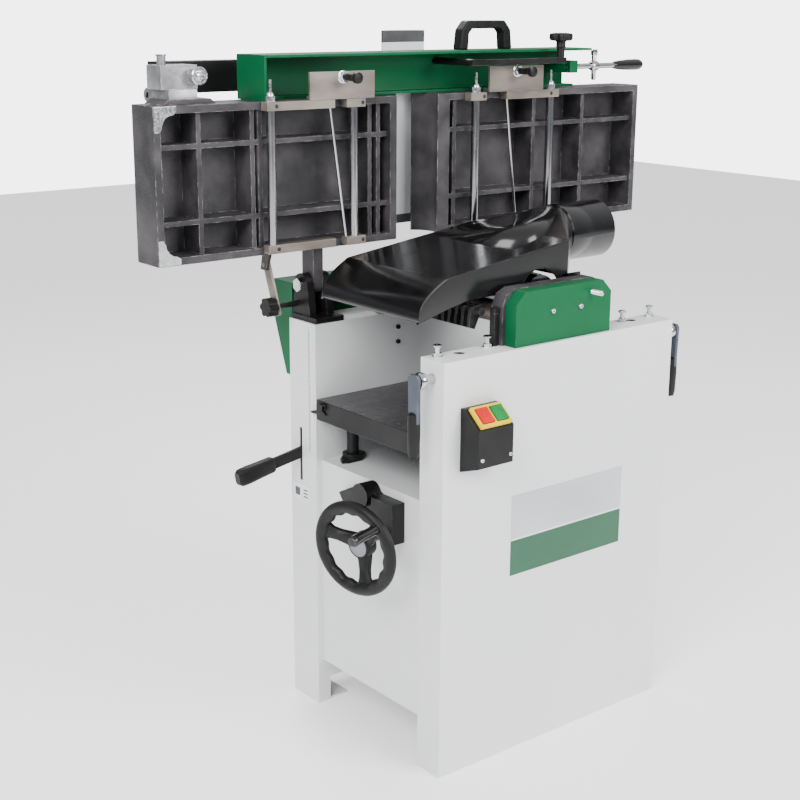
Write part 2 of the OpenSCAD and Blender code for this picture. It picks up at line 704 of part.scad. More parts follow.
module clamp_plates() color([0.52, 0.47, 0.42]) for (s = [-1, 1]) difference() {
    union() {
        block(s * clamp_x - 65, s * clamp_x + 65, plate_y, plate_y + 5, table_z1, clamp_zt + 9);
        block(s * clamp_x - 45, s * clamp_x + 45, plate_y + 5, plate_y + bracket_h + 21, table_z1, table_z1 + 4);
    }
    y_rod(s * clamp_x, plate_y - 1, plate_y + 6, clamp_zt, 5);
}

module clamp_bolts() color(black) for (s = [-1, 1]) {
    y_rod(s * clamp_x, plate_y - 36, plate_y + 5, clamp_zt, 5);
    y_rod(s * clamp_x, plate_y - 7, plate_y, clamp_zt, 9.5, 6);
    y_rod(s * clamp_x, plate_y - 44, plate_y - 36, clamp_zt, 9);
}

// channel that joins the two tables, open towards the cutter side
module cross_beam() color(green) difference() {
    union() {
        block(beam_x0, beam_x1, beam_y1 - 4, beam_y1, table_z1, table_z1 + beam_h);
        block(beam_x0, beam_x1, beam_y0, beam_y1 - 4, table_z1 + beam_h - 4, table_z1 + beam_h);
        block(beam_x0, beam_x0 + 4, beam_y0, beam_y1 - 4, table_z1, table_z1 + beam_h - 4);
        block(beam_x0 + 4, beam_x1, beam_y1 - 34, beam_y1 - 4, table_z1, table_z1 + 4);
        block(beam_x1 - 56, beam_x1 - 36, beam_y0, beam_y1 - 4, spindle_z - 11, spindle_z + 11);
    }
    x_rod(beam_x1 - 60, beam_x1 - 30, spindle_y, spindle_z, spindle_r + run_c);
    y_rod(guard_rod_x, beam_y1 - 5, beam_y1 + 1, arm_z, guard_rod_r + run_c);
    block(beam_x1 - 34, beam_x1 - 12, beam_y1 - 5, beam_y1 + 1, table_z1 + 26, table_z1 + 50);
}

module lift_handle() color(black) translate([168, beam_y1 - 28, table_z1 + beam_h]) difference() {
    xz_slab(-11, 11, [[-62, 0], [62, 0], [58, 34], [44, 50], [-44, 50], [-58, 34]]);
    xz_slab(-12, 12, [[-43, -1], [43, -1], [41, 28], [33, 36], [-33, 36], [-41, 28]]);
}

module hinge_brackets() color(black) for (s = [-1, 1]) {
    out = s * (hinge_x + arm_w / 2 + 1);
    inn = s * (hinge_x - arm_w / 2 - 1);
    difference() {
        union() {
            block(s * (hinge_x - 30), s * (hinge_x + 28), yf0 + 3, yf1, wall_h, wall_h + 9);
            for (x = [out, inn - s * lug_t]) {
                yz_slab(x, x + s * lug_t, [[pivot_y - 26, wall_h + 9], [pivot_y + 24, wall_h + 9],
                    [pivot_y + 19, pivot_z], [pivot_y - 19, pivot_z]]);
                x_rod(x, x + s * lug_t, pivot_y, pivot_z, 19);
            }
        }
        x_rod(s * (hinge_x - 40), s * (hinge_x + 40), pivot_y, pivot_z, pin_r);
        if (s < 0) x_rod(-hinge_x - 40, -hinge_x - 9, pivot_y + stay_s[0], pivot_z + stay_s[1], stud_r + run_c);
    }
}

module hinge_pins() color(steel) for (s = [-1, 1]) {
    x_rod(s * (hinge_x - 26), s * (hinge_x + 25), pivot_y, pivot_z, pin_r);
    x_rod(s * (hinge_x + 25), s * (hinge_x + 33), pivot_y, pivot_z, 12, 6);
}

// slotted strut; its angle at rest points from the table's pin to the stud
module stay_bar() color([0.5, 0.5, 0.5]) {
    d = [stay_s[0] - stay_u[0], stay_s[1] - stay_u[1]];
    ang = atan2(d[1], d[0]);
    translate([stay_x, pivot_y + stay_u[0], pivot_z + stay_u[1]]) rotate([ang, 0, 0]) difference() {
        union() {
            block(-4, 0, -10, 88, -9, 9);
            x_rod(-10, 0, 0, 0, 4 - run_c);
        }
        block(-5, 1, 60, 82, -stud_r - 0.6, stud_r + 0.6);
    }
}

module star_knob() color(black) translate([0, pivot_y + stay_s[0], pivot_z + stay_s[1]]) difference() {
    union() {
        x_rod(-hinge_x - 12, stay_x - 6, 0, 0, stud_r);
        x_rod(stay_x - 24, stay_x - 6, 0, 0, 16);
    }
    for (a = [0:60:300]) rotate([a + 30, 0, 0]) x_rod(stay_x - 25, stay_x - 5, 20, 0, 7);
}

// ---- bridge guard and fence ----

module bridge_guard() color([0.85, 0.86, 0.87]) {
    z0 = table_z0 + 12;
    z1 = table_z1 + 104;
    difference() {
        translate([guard_x, guard_y, z0]) linear_extrude(z1 - z0)
            polygon([[-guard_w / 2, 4], [guard_w / 2, 4], [guard_w / 2, 10], [guard_w / 4, 22],
                [0, 26], [-guard_w / 4, 22], [-guard_w / 2, 10]]);
        translate([guard_x, guard_y, z0 + 12]) linear_extrude(z1 - z0 - 24)
            polygon([[-guard_w / 2 + 4, 7], [guard_w / 2 - 4, 7], [guard_w / 2 - 4, 9], [guard_w / 4, 19],
                [0, 23], [-guard_w / 4, 19], [-guard_w / 2 + 4, 9]]);
    }
}

module guard_arm() color(black) {
    block(guard_rod_x - 10, 292, arm_y, arm_y + 8, arm_z - 5, arm_z + 5);
    y_rod(guard_rod_x, arm_y + 8, guard_y + 4, arm_z, guard_rod_r);
    block(guard_x - 20, guard_rod_x + 8, beam_y1 + gap_c, guard_y + 4, arm_z - 8, arm_z + 8);
    z_rod(280, arm_y + 4, arm_z + 5, arm_z + 22, 7);
}

module guard_knob() color(black) {
    z_rod(280, arm_y + 4, arm_z + 22.3, arm_z + 34, 9);
    z_rod(280, arm_y + 4, arm_z + 34, arm_z + 48, 21);
}

module guard_clamp() color(steel) {
    x_rod(beam_x1 - 52, 462, spindle_y, spindle_z, spindle_r);
    x_rod(462, 540, spindle_y, spindle_z, 8);
    z_rod(beam_x1 + 15, spindle_y, spindle_z - 26, spindle_z + 30, 4.5);
}

module fence() color(black) difference() {
    union() {
        block(fence_x0, fence_x1, fence_y, fence_y + 34, fence_z, fence_z + 50);
        x_rod(fence_x0 - 20, fence_x0 + 4, fence_y, fence_z, fence_pin_r);
    }
    block(fence_x0 - 1, fence_x1 + 1, fence_y + 4, fence_y + 30, fence_z + 4, fence_z + 46);
    block(fence_x0 - 1, fence_x1 + 1, fence_y + 12, fence_y + 35, fence_z + 14, fence_z + 36);
}

// foot on the infeed casting, body, tilt screw and the boss that takes the fence's pin
module fence_clamp() color([0.55, 0.55, 0.54]) {
    boss0 = fence_x0 - 22;
    boss1 = fence_x0 - 2;
    xz_slab(table_y0 + 8, table_y1, [[-510, table_z1], [-416, table_z1], [-426, table_z1 + 8], [-500, table_z1 + 8]]);
    block(-496, -446, table_y0 + 14, table_y1, table_z1 + 8, table_z1 + 22);
    block(-504, -440, table_y0 + 22, table_y1, table_z1 + 22, table_z1 + 58);
    y_rod(-446, table_y0 + 8, table_y0 + 22, table_z1 + 42, 12);
    z_rod(-492, table_y0 + 40, table_z1 + 58, table_z1 + 72, 7);
    difference() {
        union() {
            block(boss0, boss1, table_y1, fence_y, fence_z - 11, fence_z + 11);
            x_rod(boss0, boss1, fence_y, fence_z, 11);
        }
        x_rod(boss0 - 1, boss1 + 1, fence_y, fence_z, fence_pin_r + run_c);
    }
}

near_wall();
far_column();
cabinet_panels();
deck();
feet();
labels();
bearing_housings();
pulley_cover();
rear_cover();
fittings();
hinge_brackets();
hinge_pins();
switch_box();
switch_frame();
start_button();
stop_button();
shaft_bracket();
wheel_shaft();
handwheel();
crank_handle();
deck_bearings();
lift_gear();
lift_screw();
bed_table();
bed_posts();
bed_pointer();
motor();
motor_pulley();
cutter_pulley();
drive_belt();
cutter_block();
cutter_knives();
infeed_roller();
outfeed_roller();
roller_blocks();
feed_gearbox();
feed_chain();
kickback_fingers();
dust_hood();
clutch_lever();
clutch_grip();
front_lock_lever();
rear_lock_lever();
infeed_table();
outfeed_table();
guide_bars();
bar_brackets();
clamp_plates();
clamp_bolts();
cross_beam();
lift_handle();
stay_bar();
star_knob();
bridge_guard();
guard_arm();
guard_clamp();
guard_knob();
fence();
fence_clamp();
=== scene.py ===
import json
import math

import bmesh
import bpy
from mathutils import Matrix, Vector


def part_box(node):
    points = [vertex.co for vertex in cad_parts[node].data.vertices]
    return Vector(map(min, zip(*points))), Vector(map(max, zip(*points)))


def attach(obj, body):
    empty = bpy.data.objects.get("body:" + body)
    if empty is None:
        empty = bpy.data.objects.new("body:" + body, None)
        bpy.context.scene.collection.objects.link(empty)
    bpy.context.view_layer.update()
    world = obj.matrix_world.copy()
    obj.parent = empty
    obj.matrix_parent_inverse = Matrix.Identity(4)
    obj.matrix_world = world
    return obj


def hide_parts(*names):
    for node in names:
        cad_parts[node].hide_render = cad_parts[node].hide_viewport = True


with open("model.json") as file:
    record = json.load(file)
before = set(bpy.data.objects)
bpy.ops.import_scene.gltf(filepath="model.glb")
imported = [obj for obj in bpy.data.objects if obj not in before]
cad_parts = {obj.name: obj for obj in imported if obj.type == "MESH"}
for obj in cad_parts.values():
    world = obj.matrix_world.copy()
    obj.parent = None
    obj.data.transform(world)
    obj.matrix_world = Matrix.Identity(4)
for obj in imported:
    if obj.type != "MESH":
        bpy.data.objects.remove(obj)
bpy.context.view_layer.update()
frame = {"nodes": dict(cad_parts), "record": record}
bodyOf = {node: body for body, nodes in frame["record"]["behaviour"]["bodies"].items() for node in nodes}
slotOf = {part["node"]: part["material_slot"] for part in frame["record"]["subparts"]}
print("frame loaded:", len(frame["nodes"]), "nodes")

up = Vector((0, 0, 1))


# camera, floor and light

view = {
    "place": (-1.6092, -1.7736, 1.2124),
    "back": (-0.6053, -0.7495, 0.2682),
    "roll": 0.332,
    "lens": 64.6,
    "sensor": 36.0,
}


def aimCamera():
    camera = bpy.data.objects.new("camera", bpy.data.cameras.new("camera"))
    bpy.context.collection.objects.link(camera)
    back = Vector(view["back"]).normalized()
    right = up.cross(back).normalized()
    turn = Matrix((right, back.cross(right), back)).transposed().to_4x4()
    roll = Matrix.Rotation(math.radians(view["roll"]), 4, "Z")
    camera.matrix_world = Matrix.Translation(view["place"]) @ turn @ roll
    camera.data.lens = view["lens"]
    camera.data.sensor_width = view["sensor"]
    bpy.context.scene.camera = camera


studio = {
    "floorSize": 14,
    "floorRoughness": 0.6,
    "floorGlow": 0.45,
    "floorColour": (0.97, 0.97, 0.97, 1),
    "skyLow": (0.20, 0.205, 0.22, 1),
    "skyHigh": (1.0, 1.0, 1.0, 1),
    "skyShare": 0.7,
    "skyStrength": 1.15,
    "backdrop": (5.0, 5.0, 5.0, 1),
    "lampsAim": (0, 0, 0.6),
    "lamps": [
        ("keyLamp", (-2.8, -1.4, 2.6), 1.7, 130),
        ("frontLamp", (0.9, -3.0, 2.2), 1.6, 115),
        ("stripLamp", (0.6, 1.7, 2.7), 0.8, 40),
    ],
}


def lightStudio():
    world = bpy.data.worlds.new("studio")
    bpy.context.scene.world = world
    world.use_nodes = True
    nodes = world.node_tree.nodes
    link = world.node_tree.links.new
    sky = nodes["Background"]
    sky.inputs["Strength"].default_value = studio["skyStrength"]
    place = nodes.new("ShaderNodeTexCoord")
    split = nodes.new("ShaderNodeSeparateXYZ")
    ramp = nodes.new("ShaderNodeValToRGB")
    ramp.color_ramp.elements[0].color = studio["skyLow"]
    ramp.color_ramp.elements[1].color = studio["skyHigh"]
    ramp.color_ramp.elements[1].position = studio["skyShare"]
    link(place.outputs["Generated"], split.inputs["Vector"])
    link(split.outputs["Z"], ramp.inputs["Fac"])
    link(ramp.outputs["Color"], sky.inputs["Color"])
    plain = nodes.new("ShaderNodeBackground")
    plain.inputs["Color"].default_value = studio["backdrop"]
    seen = nodes.new("ShaderNodeLightPath")
    mix = nodes.new("ShaderNodeMixShader")
    link(seen.outputs["Is Camera Ray"], mix.inputs["Fac"])
    link(sky.outputs["Background"], mix.inputs[1])
    link(plain.outputs["Background"], mix.inputs[2])
    link(mix.outputs["Shader"], nodes["World Output"].inputs["Surface"])
    for name, spot, size, power in studio["lamps"]:
        lamp = bpy.data.objects.new(name, bpy.data.lights.new(name, "AREA"))
        bpy.context.collection.objects.link(lamp)
        lamp.data.size = size
        lamp.data.energy = power
        lamp.location = spot
        away = Vector(spot) - Vector(studio["lampsAim"])
        lamp.rotation_euler = away.to_track_quat("Z", "Y").to_euler()


def layFloor():
    bpy.ops.mesh.primitive_plane_add(size=studio["floorSize"], location=(0, 0, 0))
    floor = bpy.context.object
    floor.name = "floor"
    paint = bpy.data.materials.new("floorPaint")
    paint.use_nodes = True
    shader = paint.node_tree.nodes["Principled BSDF"]
    shader.inputs["Base Color"].default_value = studio["floorColour"]
    shader.inputs["Roughness"].default_value = studio["floorRoughness"]
    shader.inputs["Emission Color"].default_value = studio["floorColour"]
    shader.inputs["Emission Strength"].default_value = studio["floorGlow"]
    floor.data.materials.append(paint)


aimCamera()
lightStudio()
layFloor()
print("studio ready")


# finishes

# settings of the edge colour, which is partly rubbed wear and partly a painted highlight along the edges, and
# the coat roughness
edgeWearGlintAndCoat = {
    "bevel": 0.0018,
    "samples": 4,
    "facing": (0.985, 0.86),
    "patch": 70.0,
    "patchRange": (0.46, 0.62),
    "coatRoughness": 0.12,
}


def finish(name, dark, light, rough=(0.4, 0.6), metal=0.0, patch=9.0, grain=500.0, bump=0.1,
           stretch=(1, 1, 1), edgeWearAndGlint=None, edgeWearAndGlintAmount=0.5, coat=0.0, depth=0.0004, specular=0.5):
    # dark and light are mottled together, grain is the fine bump, and the colour along the edges is partly
    # real rubbed wear and partly a painted highlight, a glint along the edges
    paint = bpy.data.materials.new(name)
    paint.use_nodes = True
    nodes = paint.node_tree.nodes
    link = paint.node_tree.links.new
    shader = nodes["Principled BSDF"]
    place = nodes.new("ShaderNodeTexCoord")
    scaled = nodes.new("ShaderNodeMapping")
    scaled.inputs["Scale"].default_value = stretch
    link(place.outputs["Object"], scaled.inputs["Vector"])

    def noise(scale, detail=4.0):
        field = nodes.new("ShaderNodeTexNoise")
        field.inputs["Scale"].default_value = scale
        field.inputs["Detail"].default_value = detail
        link(scaled.outputs["Vector"], field.inputs["Vector"])
        return field.outputs["Fac"]

    def between(value, low, high, a, b):
        spread = nodes.new("ShaderNodeMapRange")
        spread.inputs["From Min"].default_value = low
        spread.inputs["From Max"].default_value = high
        spread.inputs["To Min"].default_value = a
        spread.inputs["To Max"].default_value = b
        link(value, spread.inputs["Value"])
        return spread.outputs["Result"]

    def blendColour(mask, first, second):
        mix = nodes.new("ShaderNodeMix")
        mix.data_type = "RGBA"
        link(mask, mix.inputs[0])
        for socket, colour in ((mix.inputs[6], first), (mix.inputs[7], second)):
            if isinstance(colour, tuple):
                socket.default_value = (*colour, 1)
            else:
                link(colour, socket)
        return mix.outputs[2]

    mottle = noise(patch)
    colour = blendColour(between(mottle, 0.35, 0.65, 0, 1), dark, light)
    fine = noise(grain, 6.0)
    # painted highlight mixed with real wear: edges get the lighter edge colour in patches
    if edgeWearAndGlint:
        bevel = nodes.new("ShaderNodeBevel")
        bevel.inputs["Radius"].default_value = edgeWearGlintAndCoat["bevel"]
        bevel.samples = edgeWearGlintAndCoat["samples"]
        flat = nodes.new("ShaderNodeNewGeometry")
        facing = nodes.new("ShaderNodeVectorMath")
        facing.operation = "DOT_PRODUCT"
        link(bevel.outputs["Normal"], facing.inputs[0])
        link(flat.outputs["Normal"], facing.inputs[1])
        edge = between(facing.outputs["Value"], *edgeWearGlintAndCoat["facing"], 0, 1)
        patchy = between(noise(edgeWearGlintAndCoat["patch"], 5.0), *edgeWearGlintAndCoat["patchRange"], 0, edgeWearAndGlintAmount)
        both = nodes.new("ShaderNodeMath")
        both.operation = "MULTIPLY"
        link(edge, both.inputs[0])
        link(patchy, both.inputs[1])
        colour = blendColour(both.outputs["Value"], colour, edgeWearAndGlint)
    link(colour, shader.inputs["Base Color"])
    link(between(noise(patch * 4), 0.3, 0.7, rough[0], rough[1]), shader.inputs["Roughness"])
    relief = nodes.new("ShaderNodeBump")
    relief.inputs["Strength"].default_value = bump
    relief.inputs["Distance"].default_value = depth
    link(fine, relief.inputs["Height"])
    link(relief.outputs["Normal"], shader.inputs["Normal"])
    shader.inputs["Metallic"].default_value = metal
    shader.inputs["Coat Weight"].default_value = coat
    shader.inputs["Coat Roughness"].default_value = edgeWearGlintAndCoat["coatRoughness"]
    shader.inputs["Specular IOR Level"].default_value = specular
    return paint


# on the cast iron, the gloss moulding, the ground iron and the bed top, the light edge colour is mostly a
# painted edge glint
finishes = {
    "white_paint": finish("whitePowder", (0.70, 0.71, 0.72), (0.76, 0.765, 0.77), (0.34, 0.46),
                          patch=3, grain=900, bump=0.12, edgeWearAndGlint=(0.6, 0.6, 0.6), edgeWearAndGlintAmount=0.25),
    "green_paint": finish("greenPowder", (0.0008, 0.088, 0.030), (0.0014, 0.108, 0.038), (0.34, 0.46),
                          patch=4, grain=900, bump=0.12, edgeWearAndGlint=(0.05, 0.22, 0.12), edgeWearAndGlintAmount=0.4,
                          specular=0.18),
    "cast_iron": finish("castIron", (0.020, 0.0185, 0.021), (0.066, 0.061, 0.066), (0.34, 0.56),
                        patch=16, grain=340, bump=0.6, depth=0.0009, edgeWearAndGlint=(0.40, 0.39, 0.40),
                        edgeWearAndGlintAmount=0.9, specular=0.35),
    "ground_iron": finish("groundIron", (0.040, 0.038, 0.039), (0.052, 0.049, 0.049), (0.26, 0.38),
                          metal=0.35, patch=6, grain=260, bump=0.1, stretch=(1, 3, 1),
                          edgeWearAndGlint=(0.55, 0.55, 0.55), edgeWearAndGlintAmount=0.9),
    "black_paint": finish("blackPaint", (0.005, 0.005, 0.0055), (0.012, 0.0115, 0.012), (0.30, 0.45),
                          patch=12, grain=600, bump=0.18, edgeWearAndGlint=(0.16, 0.16, 0.16), edgeWearAndGlintAmount=0.6,
                          specular=0.22),
    "black_gloss": finish("glossMoulding", (0.0035, 0.0035, 0.004), (0.007, 0.007, 0.0075),
                          (0.13, 0.24), patch=6, grain=60, bump=0.05, coat=0.12,
                          edgeWearAndGlint=(0.26, 0.26, 0.26), edgeWearAndGlintAmount=0.9, specular=0.38),
    "black_plastic": finish("blackPlastic", (0.006, 0.006, 0.0065), (0.012, 0.012, 0.0125),
                            (0.36, 0.5), patch=20, grain=1400, bump=0.25, specular=0.2),
    "bright_steel": finish("polishedSteel", (0.42, 0.42, 0.43), (0.58, 0.58, 0.59), (0.08, 0.17),
                           metal=1.0, patch=30, grain=420, bump=0.04, stretch=(1, 1, 0.12)),
    "bare_steel": finish("millSteel", (0.13, 0.108, 0.094), (0.27, 0.235, 0.205), (0.34, 0.52),
                         metal=0.4, patch=22, grain=300, bump=0.12, stretch=(0.3, 1, 1),
                         edgeWearAndGlint=(0.6, 0.58, 0.56)),
    "zinc": finish("zincPlate", (0.52, 0.53, 0.54), (0.74, 0.75, 0.76), (0.14, 0.30), metal=1.0,
                   patch=60, grain=700, bump=0.06),
    "yellow": finish("yellowMoulding", (0.80, 0.52, 0.002), (0.86, 0.60, 0.004), (0.25, 0.36),
                     patch=30, grain=900, bump=0.1, specular=0.25),
    "red": finish("redButton", (0.55, 0.008, 0.008), (0.66, 0.02, 0.015), (0.24, 0.34), patch=30,
                  grain=900, bump=0.1, specular=0.25),
    "green_button": finish("greenButton", (0.003, 0.16, 0.035), (0.008, 0.22, 0.05), (0.24, 0.34),
                           patch=30, grain=900, bump=0.1, specular=0.25),
    "label": finish("printedFoil", (0.42, 0.45, 0.47), (0.52, 0.55, 0.57), (0.3, 0.42), patch=6,
                    grain=900, bump=0.05),
    "belt_rubber": finish("beltRubber", (0.010, 0.010, 0.010), (0.02, 0.02, 0.02), (0.6, 0.8),
                          patch=30, grain=700, bump=0.3),
    "bronze": finish("gearBronze", (0.30, 0.20, 0.07), (0.46, 0.33, 0.13), (0.25, 0.4), metal=1.0,
                     patch=18, grain=500, bump=0.1),
    "alloy": finish("castAlloy", (0.20, 0.20, 0.212), (0.36, 0.36, 0.375), (0.28, 0.44), metal=0.6,
                    patch=26, grain=420, bump=0.2, edgeWearAndGlint=(0.7, 0.7, 0.7), edgeWearAndGlintAmount=0.9),
    "motor_paint": finish("motorPaint", (0.05, 0.06, 0.07), (0.09, 0.10, 0.12), (0.36, 0.5), patch=14,
                          grain=600, bump=0.25, edgeWearAndGlint=(0.3, 0.3, 0.3)),
}
guardWhite = finish("guardWhite", (0.74, 0.755, 0.77), (0.82, 0.83, 0.845), (0.34, 0.46), patch=9,
                    grain=600, stretch=(1, 1, 0.1))
fingerIron = finish("fingerIron", (0.012, 0.0115, 0.012), (0.03, 0.029, 0.029), (0.4, 0.55), metal=0.3,
                    patch=30, grain=500, edgeWearAndGlint=(0.4, 0.4, 0.4), specular=0.3)
guardCapGrey = finish("guardCapGrey", (0.045, 0.045, 0.05), (0.07, 0.07, 0.075), (0.36, 0.48), patch=30,
                 grain=900)
hubCapGrey = finish("hubCapGrey", (0.17, 0.18, 0.20), (0.22, 0.23, 0.25), (0.4, 0.5), patch=30, grain=900)
labelGreen = finish("labelGreen", (0.0015, 0.072, 0.028), (0.002, 0.09, 0.036), (0.28, 0.38), patch=8,
                    grain=900)
labelInk = finish("labelInk", (0.02, 0.03, 0.05), (0.04, 0.05, 0.08), (0.4, 0.5), patch=30, grain=900)
labelWhite = finish("labelWhite", (0.74, 0.75, 0.76), (0.8, 0.8, 0.8), (0.3, 0.4), patch=8, grain=900)
# the lever arm is black paint; its blue-grey colour is a painted reflection of the sky on the arm's face
leverPaintedSheen = finish("leverPaintedSheen", (0.040, 0.050, 0.072), (0.062, 0.076, 0.105), (0.38, 0.5), patch=20,
                   grain=500, edgeWearAndGlint=(0.3, 0.3, 0.32))
print("finishes mixed:", len(finishes))


# mesh tools

def addPiece(name, shape, paint, body, bevel=0.0, smooth=40):
    # shape is a bmesh, and it is used up
    bmesh.ops.recalc_face_normals(shape, faces=shape.faces)
    mesh = bpy.data.meshes.new(name)
    shape.to_mesh(mesh)
    shape.free()
    piece = bpy.data.objects.new(name, mesh)
    bpy.context.collection.objects.link(piece)
    for coat in paint if isinstance(paint, list) else [paint]:
        mesh.materials.append(coat)
    for face in mesh.polygons:
        face.use_smooth = True
    if bevel:
        edge = piece.modifiers.new("edge", "BEVEL")
        edge.width = bevel
        edge.segments = 2
        edge.limit_method = "ANGLE"
        edge.angle_limit = math.radians(smooth)
        edge.harden_normals = True
    mesh.set_sharp_from_angle(angle=math.radians(smooth))
    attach(piece, body)
    return piece


def addBlock(shape, low, high):
    made = bmesh.ops.create_cube(shape, size=1.0)["verts"]
    for v in made:
        v.co = Vector(low[i] + (v.co[i] + 0.5) * (high[i] - low[i]) for i in range(3))
    return made


def alongAxis(axis):
    return Vector(axis).normalized().to_track_quat("Z", "Y").to_matrix().to_4x4()


def joinRings(shape, low, high, isClosed=True):
    count = len(low)
    for i in range(count if isClosed else count - 1):
        j = (i + 1) % count
        shape.faces.new((low[i], low[j], high[j], high[i]))


def loft(shape, rings):
    # skin over the rings, closed at both ends
    shape.faces.new(rings[0])
    for low, high in zip(rings, rings[1:]):
        joinRings(shape, low, high)
    shape.faces.new(list(reversed(rings[-1])))


def addLathe(shape, profile, place, axis, steps=32):
    # profile is (radius, height) from one end of the axis to the other
    turn = Matrix.Translation(place) @ alongAxis(axis)
    rings = []
    for radius, height in profile:
        ring = []
        for i in range(steps):
            a = 2 * math.pi * i / steps
            ring.append(shape.verts.new(turn @ Vector((radius * math.cos(a), radius * math.sin(a), height))))
        rings.append(ring)
    for low, high in zip(rings, rings[1:]):
        joinRings(shape, low, high)
    shape.faces.new(list(reversed(rings[0])))
    shape.faces.new(rings[-1])


def addSlab(shape, outline, low, high, plane="xz"):
    # outline in the named plane, stretched from low to high along the third axis
    def place(p, depth):
        spots = {"xz": (p[0], depth, p[1]), "yz": (depth, p[0], p[1]), "xy": (p[0], p[1], depth)}
        return Vector(spots[plane])

    near = [shape.verts.new(place(p, low)) for p in outline]
    far = [shape.verts.new(place(p, high)) for p in outline]
    shape.faces.new(near)
    shape.faces.new(list(reversed(far)))
    for i in range(len(outline)):
        j = (i + 1) % len(outline)
        shape.faces.new((near[i], far[i], far[j], near[j]))


weldGap = 2e-6
flatAngle = 0.6  # degrees, faces flatter than this become one
easeAngle = 32  # degrees, edges sharper than this are eased


def softened(node, width, paint=None):
    # the CAD shape with its edges eased by width
    shape = bmesh.new()
    shape.from_mesh(frame["nodes"][node].data)
    bmesh.ops.remove_doubles(shape, verts=shape.verts, dist=weldGap)
    flat = math.radians(flatAngle)
    bmesh.ops.dissolve_limit(shape, angle_limit=flat, verts=shape.verts, edges=shape.edges)
    piece = addPiece(node + "Eased", shape, paint or finishes[slotOf[node]], bodyOf[node])
    edge = piece.modifiers.new("edge", "BEVEL")
    edge.width = width
    edge.segments = 2
    edge.limit_method = "ANGLE"
    edge.angle_limit = math.radians(easeAngle)
    edge.harden_normals = True
    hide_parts(node)
    return piece


def paintNodes():
    for name, node in frame["nodes"].items():
        node.data.materials.clear()
        node.data.materials.append(finishes[slotOf[name]])


paintNodes()

easing = {
    "near_wall": 0.0022, "far_column": 0.0022, "cross_beam": 0.0012, "pulley_cover": 0.0012,
    "rear_cover": 0.0012, "infeed_table": 0.0034, "outfeed_table": 0.0034, "bearing_housings": 0.002,
    "bed_table": 0.0016, "switch_box": 0.0022, "switch_frame": 0.0009, "start_button": 0.0012,
    "stop_button": 0.0012, "clamp_plates": 0.0007, "bar_brackets": 0.0009, "hinge_brackets": 0.0018,
    "fence_clamp": 0.0012, "fence": 0.0006, "lift_handle": 0.003, "shaft_bracket": 0.0025,
    "guard_arm": 0.0012, "clutch_lever": 0.0012, "deck_bearings": 0.0012, "stay_bar": 0.0008,
    "cabinet_panels": 0.0006, "deck": 0.0006, "bridge_guard": 0.0012, "kickback_fingers": 0.0006,
}
ownPaint = {
    "bridge_guard": guardWhite,
    "kickback_fingers": fingerIron,
    "bed_table": finishes["black_paint"],
}
easedPieces = {node: softened(node, width, ownPaint.get(node)) for node, width in easing.items()}


facingShare = 0.99
levelGap = 0.0006


def machine(node, facing, level, paint):
    # faces of an eased node that look along facing at that level get the machined finish
    mesh = easedPieces[node].data
    mesh.materials.append(paint)
    way = Vector(facing)
    for face in mesh.polygons:
        if face.normal.dot(way) > facingShare and abs(face.center.dot(way) - level) < levelGap:
            face.material_index = 1


planedIron = finish("planedIron", (0.20, 0.20, 0.205), (0.34, 0.335, 0.33), (0.22, 0.38), metal=0.9,
                    patch=5, grain=240, bump=0.14, stretch=(0.15, 1, 14))
for table in ("infeed_table", "outfeed_table"):
    machine(table, (0, 1, 0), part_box(table)[1].y, planedIron)
bedTop = finish("bedTop", (0.030, 0.028, 0.031), (0.052, 0.048, 0.052), (0.24, 0.36), metal=0.3,
                patch=5, grain=260, bump=0.1, stretch=(1, 3, 1), edgeWearAndGlint=(0.5, 0.5, 0.5), specular=0.45)
machine("bed_table", (0, 0, 1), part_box("bed_table")[1].z, bedTop)


footHeight = 0.0085


def footInIron():
    # the clamp's dark foot is part of the casting, its silver body stands on it
    mesh = easedPieces["fence_clamp"].data
    mesh.materials.append(finishes["cast_iron"])
    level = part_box("infeed_table")[1].z + footHeight
    for face in mesh.polygons:
        if max(mesh.vertices[v].co.z for v in face.vertices) < level:
            face.material_index = 1


footInIron()
frame["nodes"]["bed_pointer"].data.materials[0] = finishes["black_paint"]
print("eased", len(easing), "nodes")


# dust hood

hood = {
    "wall": 0.003,
    "crease": 0.0022,
    "near": -0.1395,
    "far": 0.110,
    # rounded front, as x and z of a curve's four handles
    "lip": ((-0.2546, 0.742), (-0.2550, 0.774), (-0.228, 0.788), (-0.202, 0.803)),
    "lipSteps": 22,
    "topEnd": (0.062, 0.838),
    # lower edge of the side walls, arched over the cutter
    "under": ((-0.256, 0.739), (-0.195, 0.755), (-0.150, 0.764), (-0.060, 0.767), (-0.038, 0.777),
              (-0.032, 0.784), (-0.022, 0.7915), (-0.011, 0.796), (0.0, 0.7972), (0.011, 0.796),
              (0.022, 0.7915), (0.032, 0.784), (0.038, 0.777), (0.062, 0.777)),
    "pipeCentre": (-0.015, 0.826),
    "pipeRadius": 0.050,
    "pipeStart": 0.150,
    "pipeEnd": 0.252,
    "mouthInset": 0.002,
    # swelling over the top that leads up into the pipe
    "swellX": -0.040,
    "swellInset": (0.030, 0.004),
    "swellZ": (0.790, 0.8235),
    "swellSteps": 64,
    "swellWall": 0.002,
    # ears beside the pipe, each with a round pin
    "earX": (0.050, 0.092),
    "earZ": (0.754, 0.783),
    "earWall": 0.003,
    "pinPlace": (0.080, 0.766),
    "pin": [(0.006, 0), (0.006, 0.014), (0.005, 0.0155)],
}


def alongLine(points, x):
    for (x0, z0), (x1, z1) in zip(points, points[1:]):
        if x <= x1:
            return z0 + (z1 - z0) * max(0.0, x - x0) / (x1 - x0)
    return points[-1][1]


